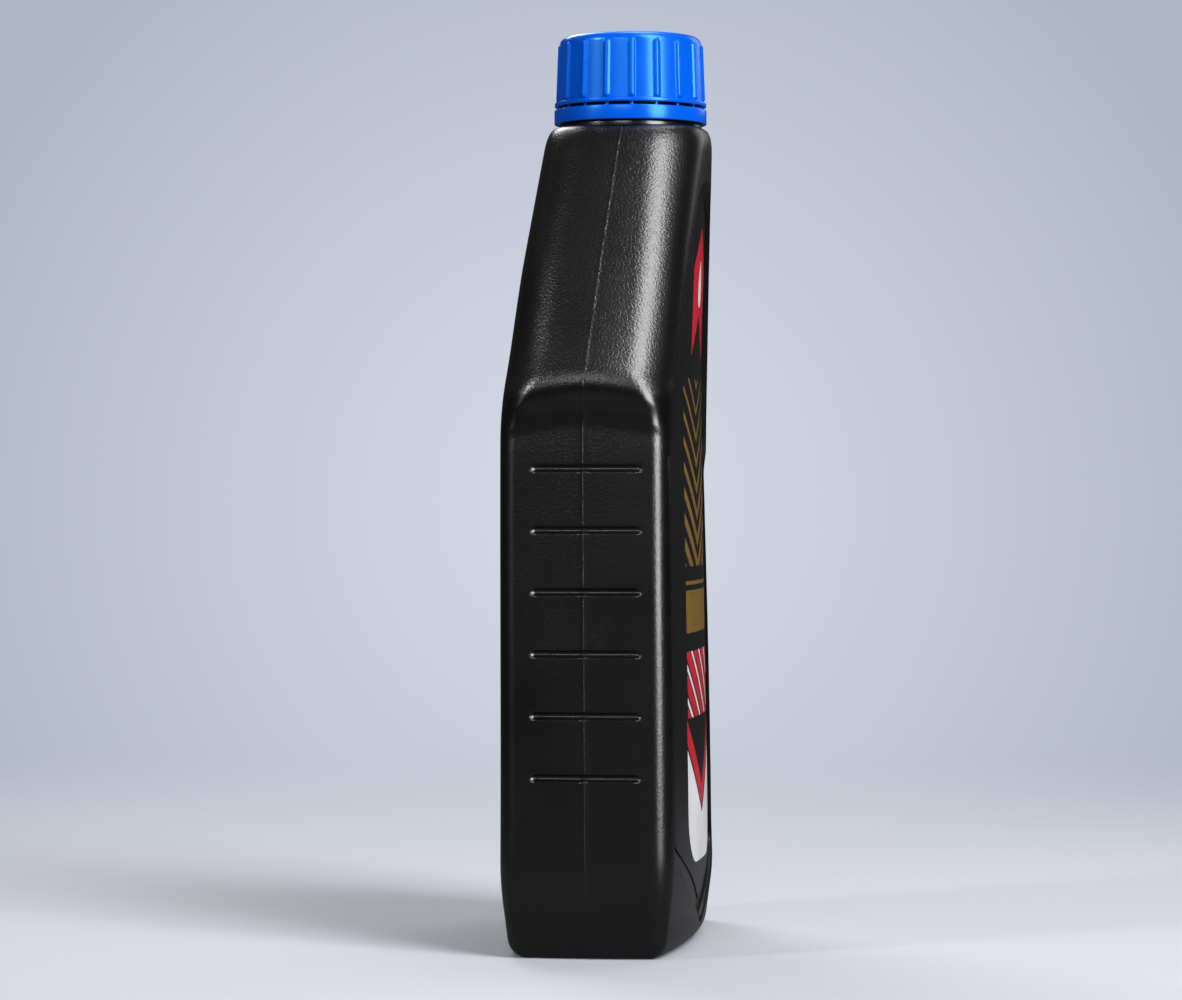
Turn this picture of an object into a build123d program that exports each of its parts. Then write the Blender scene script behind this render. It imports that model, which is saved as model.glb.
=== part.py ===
from build123d import *

import os
from collections import namedtuple
from math import atan2, cos, degrees, sqrt

# One-litre motor oil bottle, flat sided, with a slanted shoulder and a ribbed screw cap.
# Millimetres, +Z up, origin on the floor at the middle of the foot, front face towards -Y.

# Bottle body, outside
heel_width = 116.0
break_width = 114.0
break_depth = 52.1
crown_width = 45.0
crown_depth = 45.0
heel_height = 20.0
break_height = 151.0
shoulder_height = 223.0
heel_taper = 2.6
body_corner = 6.0
shoulder_corner = 13.0
crown_corner = 17.0
face_bow_radius = 350.0
crown_bow_radius = 45.0
side_crown = 1.5
shoulder_side_crown = 2.5
break_blend = 9.0
shoulder_round = 2.4
foot_round = 4.0
neck_offset = 5.6

# Bottle wall and foot
wall = 1.1
foot_ring = 9.0
push_up = 3.0
push_up_run = 7.0

# Front label panel, back panel and the label
panel_recess = 1.3
panel_half_width = 50.0
panel_top_half_width = 13.0
panel_tip = 5.0
panel_foot_corner = 25.0
panel_shoulder_corner = 130.0
panel_top = 206.0
panel_corner = 9.0
back_recess = 0.6
back_panel_width = 88.0
back_panel_bottom = 31.0
back_panel_top = 131.0
back_panel_corner = 7.0
label_margin = 5.5
label_film = 0.2
label_glue = 0.1

# Grips: the narrow sides draw in towards the top, under a ridge that overhangs the hand
grip_depth = 2.8
grip_bottom = 28.0
grip_top = 145.0
ridge_height = 154.0
grip_blend = 4.0
groove_count = 6
groove_pitch = 16.3
groove_top = 129.4
groove_length = 29.4
groove_height = 1.5
groove_depth = 0.7

# Neck finish
neck_radius = 16.9
bore_radius = 15.2
support_ring_radius = 19.6
support_ring_height = 1.2
bead_radius = 19.2
bead_gap = 2.4
bead_edge = 0.7
bead_slope = 1.4

# Screw cap, liner and tamper band
clearance = 0.3
cap_height = 19.3
cap_crown = 1.6
cap_bore_radius = 18.2
cap_top_radius = 19.5
cap_foot_radius = 20.2
cap_edge_round = 2.8
cap_flange_radius = 20.9
cap_flange_height = 1.1
rib_count = 18
rib_start = 7.5
rib_radius = 0.95
rib_proud = 0.65
rib_tip_radius = 0.4
rib_top_gap = 3.4
liner_thickness = 1.2
slit_height = 0.9
band_height = 3.9
band_radius = 21.0
band_wall = 1.2
band_lip_radius = 18.4
band_lip_height = 1.4
bridge_width = 1.1

# Heights that follow from the stack on the neck
ring_top = shoulder_height + support_ring_height
band_bottom = ring_top + clearance
band_top = band_bottom + band_height
cap_bottom = band_top + slit_height
cap_top = cap_bottom + cap_height
liner_top = cap_top - cap_crown
neck_lip = liner_top - liner_thickness
bead_bottom = ring_top + bead_gap
neck_axis = Axis((0, -neck_offset, 0), (0, 0, 1))
neck_section = Plane.XZ.offset(neck_offset)

# Outlines of the body: the walls lean in from the heel to the shoulder break and down to the foot
Level = namedtuple("Level", "height width depth corner bow side_crown shift")
lean_in = (heel_width - break_width) / 2
heel_depth = break_depth + 2 * lean_in
heel = Level(heel_height, heel_width, heel_depth, body_corner, face_bow_radius, side_crown, 0.0)
crown = Level(
    shoulder_height, crown_width, crown_depth, crown_corner, crown_bow_radius, shoulder_side_crown, -neck_offset
)


def inset_level(level, inset, height):
    """The same outline, moved inwards all round and put at another height."""
    return level._replace(
        height=height,
        width=level.width - 2 * inset,
        depth=level.depth - 2 * inset,
        corner=max(level.corner - inset, wall),
        bow=level.bow - inset,
    )


def between(low, high, share):
    """Level that lies a share of the way from one level to another."""
    return Level(*(start + share * (end - start) for start, end in zip(low, high)))


def rounded(low, corner, high):
    """Three levels that round the corner between two straight stretches, the middle one as on an arc."""
    pull = 1 - sqrt(0.5)
    middle = Level(*(at + pull * (start - at) + pull * (end - at) for start, at, end in zip(low, corner, high)))
    return low, middle, high


def soft_ramp(height, start, blend):
    """How far a height is above a bend, with the bend rounded over a blend below and above it."""
    run = min(max(height - start + blend, 0.0), 2 * blend)
    return run**2 / (4 * blend) + max(height - start - blend, 0.0)


def side_reach(height):
    """Half the width between the heel and the crown: lean, grip, overhang under the ridge, shoulder."""
    lean = -lean_in / (break_height - heel_height)
    grip = lean - grip_depth / (grip_top - grip_bottom)
    grip_half_width = heel_width / 2 + lean * (grip_top - heel_height) - grip_depth
    overhang = (break_width / 2 - grip_half_width) / (ridge_height - grip_top)
    slant = (crown_width - break_width) / 2 / (shoulder_height - ridge_height)
    half_width = heel_width / 2 + lean * (height - heel_height)
    half_width += (grip - lean) * soft_ramp(height, grip_bottom, grip_blend)
    half_width += (overhang - grip) * soft_ramp(height, grip_top, grip_blend)
    half_width += (slant - overhang) * soft_ramp(height, ridge_height, grip_blend)
    return half_width


def body_level(height):
    """Outline of the wall at a height between the heel and the crown."""
    shoulder = inset_level(heel, lean_in, break_height)
    risen = soft_ramp(height, break_height, break_blend) / (shoulder_height - break_height)
    wall_level = between(heel, shoulder, (height - heel_height) / (break_height - heel_height))
    top_level = between(heel, shoulder, (shoulder_height - heel_height) / (break_height - heel_height))
    turned = min(max((height - grip_top) / (ridge_height + grip_blend - grip_top), 0.0), 1.0)
    low_corner = body_corner + turned * (shoulder_corner - body_corner)
    return Level(
        height,
        2 * side_reach(height),
        wall_level.depth + risen * (crown_depth - top_level.depth),
        low_corner + risen * (crown_corner - low_corner),
        face_bow_radius + risen * (crown_bow_radius - face_bow_radius),
        side_crown + turned * (shoulder_side_crown - side_crown),
        -risen * neck_offset,
    )


foot = inset_level(heel, heel_taper, 0.0)
foot_edge = between(foot, heel, foot_round / heel_height)
foot_rim = inset_level(foot, foot_round, 0.0)
crown_edge = body_level(shoulder_height - shoulder_round)
crown_top = inset_level(crown, shoulder_round, shoulder_height)
ridge_start = grip_top - grip_blend
ridge_stop = break_height + break_blend
ridge_rows = 7
ridge_heights = [ridge_start + (ridge_stop - ridge_start) * row / (ridge_rows - 1) for row in range(ridge_rows)]


def body_outline(level):
    """Outline of the bottle at one level: bowed front and back, crowned sides, round corners."""
    half_width = level.width / 2
    half_depth = level.depth / 2
    side = half_width - level.side_crown
    edge = half_depth - level.bow + sqrt(level.bow**2 - side**2)
    front_left = (-side, level.shift - edge)
    front_right = (side, level.shift - edge)
    back_right = (side, level.shift + edge)
    back_left = (-side, level.shift + edge)
    with BuildSketch(Plane.XY.offset(level.height)) as outline:
        with BuildLine():
            ThreePointArc(front_left, (0, level.shift - half_depth), front_right)
            ThreePointArc(front_right, (half_width, level.shift), back_right)
            ThreePointArc(back_right, (0, level.shift + half_depth), back_left)
            ThreePointArc(back_left, (-half_width, level.shift), front_left)
        make_face()
        fillet(outline.vertices(), level.corner)
    return outline.sketch


def body_form(inset):
    """Bottle shape without its recesses, moved inwards all round by an inset."""
    foot_lines = [
        body_outline(inset_level(level, inset, level.height)) for level in rounded(foot_rim, foot, foot_edge)
    ]
    heel_line = body_outline(inset_level(heel, inset, heel_height))
    grip_line = body_outline(inset_level(body_level(grip_bottom), inset, grip_bottom))
    ridge_lines = [body_outline(inset_level(body_level(height), inset, height)) for height in ridge_heights]
    crown_lines = [
        body_outline(inset_level(level, inset, level.height - inset))
        for level in rounded(crown_edge, crown, crown_top)
    ]
    with BuildPart() as form:
        loft(sections=foot_lines)
        loft(sections=[foot_lines[-1], heel_line, grip_line, ridge_lines[0]], ruled=True)
        loft(sections=ridge_lines)
        loft(sections=[ridge_lines[-1], crown_lines[0]], ruled=True)
        loft(sections=crown_lines)
    return form.part


def foot_dish(inset, rise):
    """Frustum that pushes the middle of the foot up, moved inwards by an inset and raised."""
    with BuildPart() as dish:
        loft(
            sections=[
                body_outline(inset_level(foot, foot_ring - inset, rise)),
                body_outline(inset_level(foot, foot_ring + push_up_run - inset, push_up + rise)),
            ],
            ruled=True,
        )
    return dish.part


def panel_outline(grow):
    """Shield outline of the front label panel, seen from the front and grown all round."""
    with BuildSketch(Plane.XZ) as outline:
        with BuildLine():
            Polyline(
                (0, panel_tip),
                (panel_half_width, panel_foot_corner),
                (panel_half_width, panel_shoulder_corner),
                (panel_top_half_width, panel_top),
                (0, panel_top),
            )
            mirror(about=Plane.YZ)
        make_face()
        fillet(outline.vertices(), panel_corner)
        if grow:
            offset(amount=grow, kind=Kind.ARC)
    return outline.sketch


def back_outline(grow):
    """Plain outline of the shallow back panel, seen along Y and grown all round."""
    height = back_panel_top - back_panel_bottom
    with BuildSketch(Plane.XZ) as outline:
        with Locations((0, back_panel_bottom + height / 2)):
            RectangleRounded(back_panel_width + 2 * grow, height + 2 * grow, back_panel_corner + grow)
    return outline.sketch


def face_recess(outline, amount, recess):
    """Cutter that sinks an outline into the face that it is extruded through, by an even depth."""
    with BuildPart() as cutter:
        extrude(outline, amount=amount)
        add(body_form(recess), mode=Mode.SUBTRACT)
    return cutter.part


def groove_outline():
    """Outlines of the row of finger grooves, seen along X: slots with round ends."""
    with BuildSketch(Plane.YZ) as outline:
        for index in range(groove_count):
            with Locations((0, groove_top - index * groove_pitch)):
                SlotOverall(groove_length, groove_height)
    return outline.sketch


def recesses(grow):
    """Cutters of the two panels. The inside of the wall takes them grown by the wall."""
    return [
        face_recess(panel_outline(grow), heel_depth, panel_recess + grow),
        face_recess(back_outline(grow), -heel_depth, back_recess + grow),
    ]


# Inside of the bottle: the outer form less the wall, raised over the push-up of the foot
with BuildPart() as cavity:
    add(body_form(wall))
    for recess in recesses(wall):
        add(recess, mode=Mode.SUBTRACT)
    with BuildSketch() as floor_area:
        Rectangle(2 * heel_width, 2 * heel_depth)
    extrude(amount=wall, mode=Mode.SUBTRACT)
    add(foot_dish(wall, wall), mode=Mode.SUBTRACT)

with BuildPart() as bottle_body:
    add(body_form(0))
    for recess in recesses(0):
        add(recess, mode=Mode.SUBTRACT)
    for side in (-1, 1):
        add(face_recess(groove_outline(), side * heel_width, groove_depth), mode=Mode.SUBTRACT)
    add(foot_dish(0, 0), mode=Mode.SUBTRACT)
    with BuildSketch(neck_section) as neck_profile:
        with BuildLine():
            Polyline(
                (0, shoulder_height - wall),
                (neck_radius, shoulder_height - wall),
                (neck_radius, shoulder_height),
                (support_ring_radius, shoulder_height),
                (support_ring_radius, ring_top),
                (neck_radius, ring_top),
                (neck_radius, bead_bottom),
                (bead_radius, bead_bottom),
                (bead_radius, bead_bottom + bead_edge),
                (neck_radius, bead_bottom + bead_edge + bead_slope),
                (neck_radius, neck_lip),
                (0, neck_lip),
                close=True,
            )
        make_face()
    revolve(axis=neck_axis)
    add(cavity.part, mode=Mode.SUBTRACT)
    with BuildSketch(Plane.XY.offset(neck_lip)) as mouth:
        with Locations((0, -neck_offset)):
            Circle(bore_radius)
    extrude(amount=shoulder_height - 2 * wall - neck_lip, mode=Mode.SUBTRACT)
bottle_body.part.label = "bottle_body"

with BuildPart() as front_label:
    extrude(panel_outline(-label_margin), amount=heel_depth)
    add(body_form(panel_recess - label_glue - label_film), mode=Mode.INTERSECT)
    add(body_form(panel_recess - label_glue), mode=Mode.SUBTRACT)
front_label.part.label = "front_label"

with BuildPart() as tamper_band:
    with BuildSketch(neck_section) as band_profile:
        with BuildLine():
            Polyline(
                (band_radius, band_bottom),
                (band_radius, band_top),
                (band_radius - band_wall, band_top),
                (band_radius - band_wall, band_bottom + band_lip_height),
                (band_lip_radius, band_bottom + band_lip_height),
                (band_lip_radius, band_bottom + band_lip_height / 2),
                (band_radius - band_wall, band_bottom),
                close=True,
            )
        make_face()
    revolve(axis=neck_axis)
    with BuildSketch(Plane.XY.offset(band_top)) as bridges:
        with Locations((0, -neck_offset)):
            with PolarLocations(cap_foot_radius - band_wall / 2, rib_count, rib_start):
                Rectangle(band_wall / 2, bridge_width)
    extrude(amount=slit_height)
tamper_band.part.label = "tamper_band"

# One rib of the cap, upright at the origin; its foot is buried in the cap's flange
cap_draft = atan2(cap_foot_radius - cap_top_radius, cap_height - cap_flange_height)
rib_foot = cap_bottom + cap_flange_height / 2
with BuildPart() as cap_rib:
    rib_length = (cap_top - rib_top_gap - rib_foot) / cos(cap_draft)
    Cylinder(rib_radius, rib_length, align=(Align.CENTER, Align.CENTER, Align.MIN))
    chamfer(cap_rib.edges().sort_by(Axis.Z)[-1], rib_radius - rib_tip_radius)

with BuildPart() as screw_cap:
    with BuildSketch(neck_section) as cap_profile:
        with BuildLine():
            Polyline(
                (0, cap_top),
                (cap_top_radius, cap_top),
                (cap_foot_radius, cap_bottom + cap_flange_height),
                (cap_flange_radius, cap_bottom + cap_flange_height),
                (cap_flange_radius, cap_bottom),
                (cap_bore_radius, cap_bottom),
                (cap_bore_radius, liner_top),
                (0, liner_top),
                close=True,
            )
        make_face()
        fillet(cap_profile.vertices().group_by(Axis.Y)[-1].sort_by(Axis.X)[-1], cap_edge_round)
    revolve(axis=neck_axis)
    with Locations((0, -neck_offset, rib_foot)):
        with PolarLocations(cap_foot_radius + rib_proud - rib_radius, rib_count, rib_start):
            with Locations(Rotation(0, -degrees(cap_draft), 0)):
                add(cap_rib.part)
screw_cap.part.label = "screw_cap"

with BuildPart() as cap_liner:
    with BuildSketch(Plane.XY.offset(neck_lip)) as liner_disc:
        with Locations((0, -neck_offset)):
            Circle(cap_bore_radius - clearance)
    extrude(amount=liner_thickness)
cap_liner.part.label = "cap_liner"

os.makedirs("parts", exist_ok=True)
export_step(bottle_body.part, "parts/bottle_body.step")
export_step(front_label.part, "parts/front_label.step")
export_step(tamper_band.part, "parts/tamper_band.step")
export_step(screw_cap.part, "parts/screw_cap.step")
export_step(cap_liner.part, "parts/cap_liner.step")
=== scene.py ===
from collections import namedtuple
from math import atan2, cos, pi, radians, sin

import bpy
import numpy as np
from bpy.props import FloatProperty, FloatVectorProperty, IntProperty, PointerProperty
from bpy.types import Operator, Panel, PropertyGroup
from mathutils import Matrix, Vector


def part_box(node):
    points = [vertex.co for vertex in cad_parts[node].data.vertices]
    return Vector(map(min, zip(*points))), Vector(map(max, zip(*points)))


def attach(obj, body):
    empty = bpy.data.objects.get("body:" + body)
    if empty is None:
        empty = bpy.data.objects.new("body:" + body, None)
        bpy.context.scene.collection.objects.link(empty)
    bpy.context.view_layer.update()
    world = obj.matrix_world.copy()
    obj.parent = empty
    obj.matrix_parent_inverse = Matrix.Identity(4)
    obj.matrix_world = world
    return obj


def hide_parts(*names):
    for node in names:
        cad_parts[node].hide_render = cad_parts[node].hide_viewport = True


bl_info = {
    "name": "Oil Bottle Dresser",
    "version": (1, 0, 0),
    "blender": (4, 5, 0),
    "location": "View3D > Sidebar > Oil Bottle",
    "description": "Dresses the packed one-litre oil bottle: shell, neck, label, cap, band and liner",
    "category": "Add Mesh",
}

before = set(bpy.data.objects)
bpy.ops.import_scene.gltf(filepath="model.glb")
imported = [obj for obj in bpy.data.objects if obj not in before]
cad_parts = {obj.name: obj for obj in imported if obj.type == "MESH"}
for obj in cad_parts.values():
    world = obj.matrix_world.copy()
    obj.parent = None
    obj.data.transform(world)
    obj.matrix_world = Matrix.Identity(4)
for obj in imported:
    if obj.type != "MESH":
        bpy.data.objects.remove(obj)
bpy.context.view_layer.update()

MM = 0.001

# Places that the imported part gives: what stands on the neck, and the axis of the cap
bottle_low, bottle_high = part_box("bottle_body")
band_low, band_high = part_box("tamper_band")
cap_low, cap_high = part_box("screw_cap")
liner_low, liner_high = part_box("cap_liner")
neck_y = (cap_low.y + cap_high.y) / 2


def size(name, description, default):
    """Length property, in metres."""
    return FloatProperty(name=name, description=description, default=default, unit="LENGTH", precision=5)


def share(name, description, default):
    """Plain factor without a unit."""
    return FloatProperty(name=name, description=description, default=default, subtype="FACTOR", precision=3)


def turn(name, description, default):
    """Angle property, in radians."""
    return FloatProperty(name=name, description=description, default=default, subtype="ANGLE")


def power(name, description, default):
    """Lamp power, in watts."""
    return FloatProperty(name=name, description=description, default=default, unit="POWER")


def tint(name, description, default):
    """Linear colour property."""
    return FloatVectorProperty(name=name, description=description, default=default, subtype="COLOR", size=3)


class ShellSizes(PropertyGroup):
    """Outside and wall of the blow-moulded bottle."""

    heel_width: size(
        "Heel width", "Widest place of the bottle, just over the foot", bottle_high.x - bottle_low.x)
    heel_depth: size("Heel depth", "Depth over the two bowed faces at the heel", 54.1 * MM)
    lean_in: size("Lean in", "How far each wall leans in from the heel up to the shoulder break", 1.0 * MM)
    crown_width: size("Crown width", "Width and depth of the shoulder's upper end", 45.0 * MM)
    heel_height: size("Heel height", "Where the foot's taper ends", 20.0 * MM)
    break_height: size("Break height", "Where the wall turns into the slanted shoulder", 151.0 * MM)
    shoulder_height: size("Shoulder height", "Upper end of the shoulder", 223.0 * MM)
    heel_taper: size("Heel taper", "How far the wall draws in from the heel to the floor", 2.6 * MM)
    body_corner: size("Body corner", "Radius of the upright edges beside the grips", 6.0 * MM)
    shoulder_corner: size("Shoulder corner", "Radius of the edges over the ridge", 13.0 * MM)
    crown_corner: size("Crown corner", "Radius of the edges at the shoulder's upper end", 17.0 * MM)
    side_crown: size("Side crown", "How far the narrow sides bulge at the grips", 1.5 * MM)
    shoulder_side_crown: size(
        "Shoulder side crown", "How far the narrow sides bulge over the ridge", 2.5 * MM)
    face_bow: size("Face bow", "Radius of the bowed front and back", 350.0 * MM)
    crown_bow: size("Crown bow", "Radius of the front and back at the shoulder's upper end", 45.0 * MM)
    break_blend: size("Break blend", "Half height of the rounding at the shoulder break", 9.0 * MM)
    shoulder_round: size("Shoulder round", "How far the rounding under the neck draws in", 2.4 * MM)
    crown_rise: size("Crown rise", "Height of the rounding under the neck", 6.5 * MM)
    heel_blend: size("Heel blend", "Half height of the rounding at the heel", 6.0 * MM)
    foot_round: size("Foot round", "Rounding where the wall meets the floor", 5.4 * MM)
    lean_back: size("Lean back", "How far the wall stands to the back at the shoulder break", 0.9 * MM)
    wall: size("Wall", "Thickness of the blown wall", 1.1 * MM)
    foot_ring: size("Foot ring", "Width of the ring that the bottle stands on", 9.0 * MM)
    push_up: size("Push-up", "How high the middle of the foot is pushed in", 3.0 * MM)
    push_up_run: size("Push-up run", "Width of the push-up's slope", 7.0 * MM)
    seam_width: size("Seam width", "Half width of the parting line", 0.22 * MM)
    seam_height: size("Seam height", "How far the parting line stands proud", 0.085 * MM)
    smooth_foot: size("Smooth foot", "Height under which the mould has no grain", 25.0 * MM)
    grain_fade: size("Grain fade", "Height over which the grain fades out at the foot", 14.0 * MM)


class GripSizes(PropertyGroup):
    """Drawn-in grips under a ridge, and finger grooves, in the two narrow sides."""

    depth: size("Depth", "How far the grip is drawn in under the ridge", 2.8 * MM)
    bottom: size("Bottom", "Height where the grip begins to draw in", 28.0 * MM)
    top: size("Top", "Height of the grip's upper end, where the overhang starts", 145.0 * MM)
    ridge: size("Ridge", "Height of the ridge over the grip", 154.0 * MM)
    blend: size("Blend", "Half height of the soft bends", 4.0 * MM)
    arch_half: size("Arch half width", "From the middle of the side to the arch's ends", 16.0 * MM)
    arch_low: size("Arch low", "How far the ridge hangs down in the middle of the side", 1.8 * MM)
    arch_rise: size("Arch rise", "How much further it hangs down at the arch's ends", 2.2 * MM)
    arch_foot: size("Arch foot", "Height over which the wall follows the arch, below it", 13.0 * MM)
    arch_reach: size("Arch reach", "Height over which the wall follows the arch, above it", 30.0 * MM)
    groove_count: IntProperty(name="Grooves", description="Finger grooves in each grip", default=6)
    groove_pitch: size("Groove pitch", "Step from groove to groove", 16.3 * MM)
    groove_top: size("Top groove", "Height of the uppermost groove", 129.4 * MM)
    groove_length: size("Groove length", "Length over the round ends", 29.4 * MM)
    groove_height: size("Groove height", "Height of a groove at its mouth", 2.3 * MM)
    groove_floor: size("Groove floor", "Height of a groove at its floor", 0.5 * MM)
    groove_depth: size("Groove depth", "Depth of a groove", 0.9 * MM)


class PanelSizes(PropertyGroup):
    """Shield-shaped label panel in the front, plain panel in the back, and the label."""

    recess: size("Recess", "How far the front panel is set back", 1.8 * MM)
    half_width: size("Half width", "Half the width of the front panel", 50.0 * MM)
    top_half_width: size("Top half width", "Half the width at the panel's upper end", 13.0 * MM)
    tip: size("Tip", "Height of the point at the panel's foot", 5.0 * MM)
    foot_corner: size("Foot corner", "Height where the point reaches the full width", 25.0 * MM)
    shoulder_corner: size("Shoulder corner", "Height where the panel begins to narrow", 130.0 * MM)
    top: size("Top", "Height of the panel's upper end", 206.0 * MM)
    corner: size("Corner", "Corner radius of the front panel", 9.0 * MM)
    edge: size("Edge", "Half width of the soft step at the panel's rim", 1.5 * MM)
    back_recess: size("Back recess", "How far the back panel is set back", 0.6 * MM)
    back_width: size("Back width", "Width of the back panel", 88.0 * MM)
    back_bottom: size("Back bottom", "Height of the back panel's lower edge", 31.0 * MM)
    back_top: size("Back top", "Height of the back panel's upper edge", 131.0 * MM)
    back_corner: size("Back corner", "Corner radius of the back panel", 7.0 * MM)
    label_margin: size("Label margin", "Bare strip between the panel's rim and the label", 5.5 * MM)
    film: size("Film", "Thickness of the label", 0.2 * MM)
    glue: size("Glue", "Thickness of the glue under the label", 0.1 * MM)


class NeckSizes(PropertyGroup):
    """Neck finish: support ring, tamper bead and thread."""

    radius: size("Radius", "Outside of the neck", 16.9 * MM)
    bore: size("Bore", "Radius of the mouth", 15.2 * MM)
    ring_radius: size("Ring radius", "Radius of the support ring", 19.6 * MM)
    ring_height: size("Ring height", "Height of the support ring", 1.2 * MM)
    bead_radius: size("Bead radius", "Radius of the bead that holds the band", 19.2 * MM)
    bead_gap: size("Bead gap", "Room between the ring and the bead", 2.4 * MM)
    bead_edge: size("Bead edge", "Upright edge of the bead", 0.7 * MM)
    bead_slope: size("Bead slope", "Height of the bead's slope", 1.4 * MM)
    edge: size("Edge", "Rounding of the moulded edges", 0.25 * MM)
    lead: size("Lead", "Climb of the thread in one turn", 6.0 * MM)
    thread_proud: size("Thread height", "How far the thread stands proud of the neck", 1.0 * MM)
    thread_foot: size("Thread foot", "Half the thread's height at its root", 1.1 * MM)
    thread_start: size("Thread start", "Room between the bead and the thread", 2.6 * MM)
    thread_turns: share("Thread turns", "Length of the thread in turns", 1.35)


class CapSizes(PropertyGroup):
    """Ribbed screw cap, its tamper band and its liner."""

    bore: size("Bore", "Inside radius of the cap", 18.2 * MM)
    top_radius: size("Top radius", "Wall radius at the crown", 19.5 * MM)
    foot_radius: size("Foot radius", "Wall radius at the flange", 20.2 * MM)
    edge_round: size("Edge round", "Rounding of the crown's edge", 2.4 * MM)
    flange_radius: size("Flange radius", "Radius of the flange at the cap's foot", cap_high.x)
    flange_height: size("Flange height", "Height of the flange", 1.1 * MM)
    rib_count: IntProperty(name="Ribs", description="Grip ribs around the cap", default=18)
    rib_phase: turn("Rib phase", "Turn of the first rib from the X axis", radians(7.5))
    rib_radius: size("Rib radius", "Radius of a rib's round back", 0.95 * MM)
    rib_proud: size("Rib proud", "How far a rib stands proud of the wall", 0.65 * MM)
    rib_top_gap: size("Rib top gap", "Room between a rib's tip and the crown", 2.7 * MM)
    rib_soft: size("Rib root", "Rounding at the root of a rib", 0.25 * MM)
    edge: size("Edge", "Rounding of the small moulded edges", 0.25 * MM)
    thread_proud: size("Thread height", "How far the cap's thread stands in from its bore", 0.95 * MM)
    band_wall: size("Band wall", "Thickness of the tamper band", 1.2 * MM)
    band_lip: size("Band lip", "Inside radius of the lip that catches the bead", 18.4 * MM)
    band_lip_height: size("Band lip height", "Height of that lip", 1.4 * MM)
    band_height: size("Band height", "Height of the band without its bridges", 3.9 * MM)
    bridge_width: size("Bridge width", "Width of one bridge between band and cap", 1.1 * MM)


class FinishColours(PropertyGroup):
    """Linear colours and gloss of the materials."""

    hdpe: tint("Bottle black", "Pigmented black of the bottle", (0.0018, 0.0018, 0.0019))
    hdpe_shine: share("Bottle shine", "Strength of the black plastic's reflections", 0.9)
    hdpe_gloss: share("Bottle roughness", "Roughness of the smooth black plastic", 0.22)
    grain_gloss: share("Grain roughness", "Roughness of the grained black plastic", 0.31)
    grain_cell: size("Grain cell", "Size of one cell of the leather grain", 1.1 * MM)
    grain_depth: size("Grain depth", "Depth of the leather grain", 0.028 * MM)
    cap_blue: tint("Cap blue", "Pigmented blue of the cap and band", (0.0, 0.095, 0.66))
    cap_sheen: tint("Cap sheen", "Tint of the cap's reflections", (0.2, 0.85, 1.0))
    cap_gloss: share("Cap roughness", "Roughness of the cap", 0.24)
    crown_gloss: share("Crown roughness", "Roughness of the cap's matt flat top", 0.6)
    film_black: tint("Film black", "Ground of the label", (0.005, 0.005, 0.0055))
    film_red: tint("Film red", "Red ink", (0.62, 0.012, 0.03))
    film_gold: tint("Film gold", "Gold ink", (0.52, 0.29, 0.055))
    film_white: tint("Film white", "White ink", (0.82, 0.82, 0.82))
    liner: tint("Liner", "Foam of the sealing disc", (0.72, 0.72, 0.69))


class StudioSettings(PropertyGroup):
    """Camera, lamps, floor and background."""

    azimuth: turn("Azimuth", "Where the camera stands round the neck", radians(276.5))
    yaw: turn("Yaw", "How far the camera looks past the neck, to the left", radians(0.553))
    distance: size("Distance", "From the camera to the neck's axis", 1130.0 * MM)
    height: size("Camera height", "Height of the lens over the floor", 121.0 * MM)
    lens: FloatProperty(
        name="Lens", description="Focal length in millimetres", default=124.6, subtype="DISTANCE_CAMERA")
    floor: tint("Floor", "Pale floor near the bottle", (0.53, 0.547, 0.6))
    # Painted light: the background is painted lighter behind the bottle, a painted pool of light that fades
    # to the far colour
    halo: tint("Halo", "Background behind the bottle", (0.67, 0.705, 0.79))
    far: tint("Background", "Background away from the bottle", (0.42, 0.46, 0.555))
    ambient: share("Ambient", "Strength of the even light from all round", 0.03)
    key: power("Key", "Power of the large soft lamp", 33.0)
    strip: power("Strip", "Power of the tall faint lamp", 0.55)
    spot: power("Spot", "Power of the small lamp beside it", 4.5)
    front: power("Front", "Power of the faint lamp over the camera", 1.8)
    overhead: power("Overhead", "Power of the lamp above", 4.0)
    label: power("Label", "Power of the lamp on the front face", 0.8)
    back: power("Back", "Power of the lamp behind the bottle", 8.0)


class BottleSettings(PropertyGroup):
    """Everything that the operators read."""

    shell: PointerProperty(type=ShellSizes)
    grip: PointerProperty(type=GripSizes)
    panel: PointerProperty(type=PanelSizes)
    neck: PointerProperty(type=NeckSizes)
    cap: PointerProperty(type=CapSizes)
    finish: PointerProperty(type=FinishColours)
    studio: PointerProperty(type=StudioSettings)


# Surfaces: rows of rings that are skinned, with every shape worked out as whole arrays

Rows = namedtuple("Rows", "width depth corner bow crown shift")

# Grid counts: columns round the shell, the cap and the band, and rows over their curves
SIDE_COLUMNS = (8, 8, 4)
CORNER_COLUMNS = 18
FRONT_COLUMNS = (10, 9, 5)
BACK_COLUMNS = (6, 6, 3)
SEAM_COLUMN = 1 + sum(SIDE_COLUMNS)
SEAM_APART = 2 * (sum(SIDE_COLUMNS) + CORNER_COLUMNS + sum(BACK_COLUMNS) + 2)
FOOT_ROWS = 9
CROWN_ROWS = 8
INNER_ROWS = 40
LABEL_ROWS = 150
LABEL_COLUMNS = 48
THREAD_STATIONS = 150
RIB_COLUMNS = (0.0, 0.1, 0.19, 0.26, 0.31, 0.37, 0.5, 0.75, 1.0)
BAND_COLUMNS = 180
BRIDGE_ROWS = 7
BRIDGE_COLUMNS = 12
FLOOR_ROWS = 24
FLOOR_COLUMNS = 96
HALVINGS = 40
TINY = 1e-9
ROUND_LIMIT = 0.45
LABEL_ENDS = (0.02, 0.98)
SHARP_ANGLE = radians(42.0)

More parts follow.
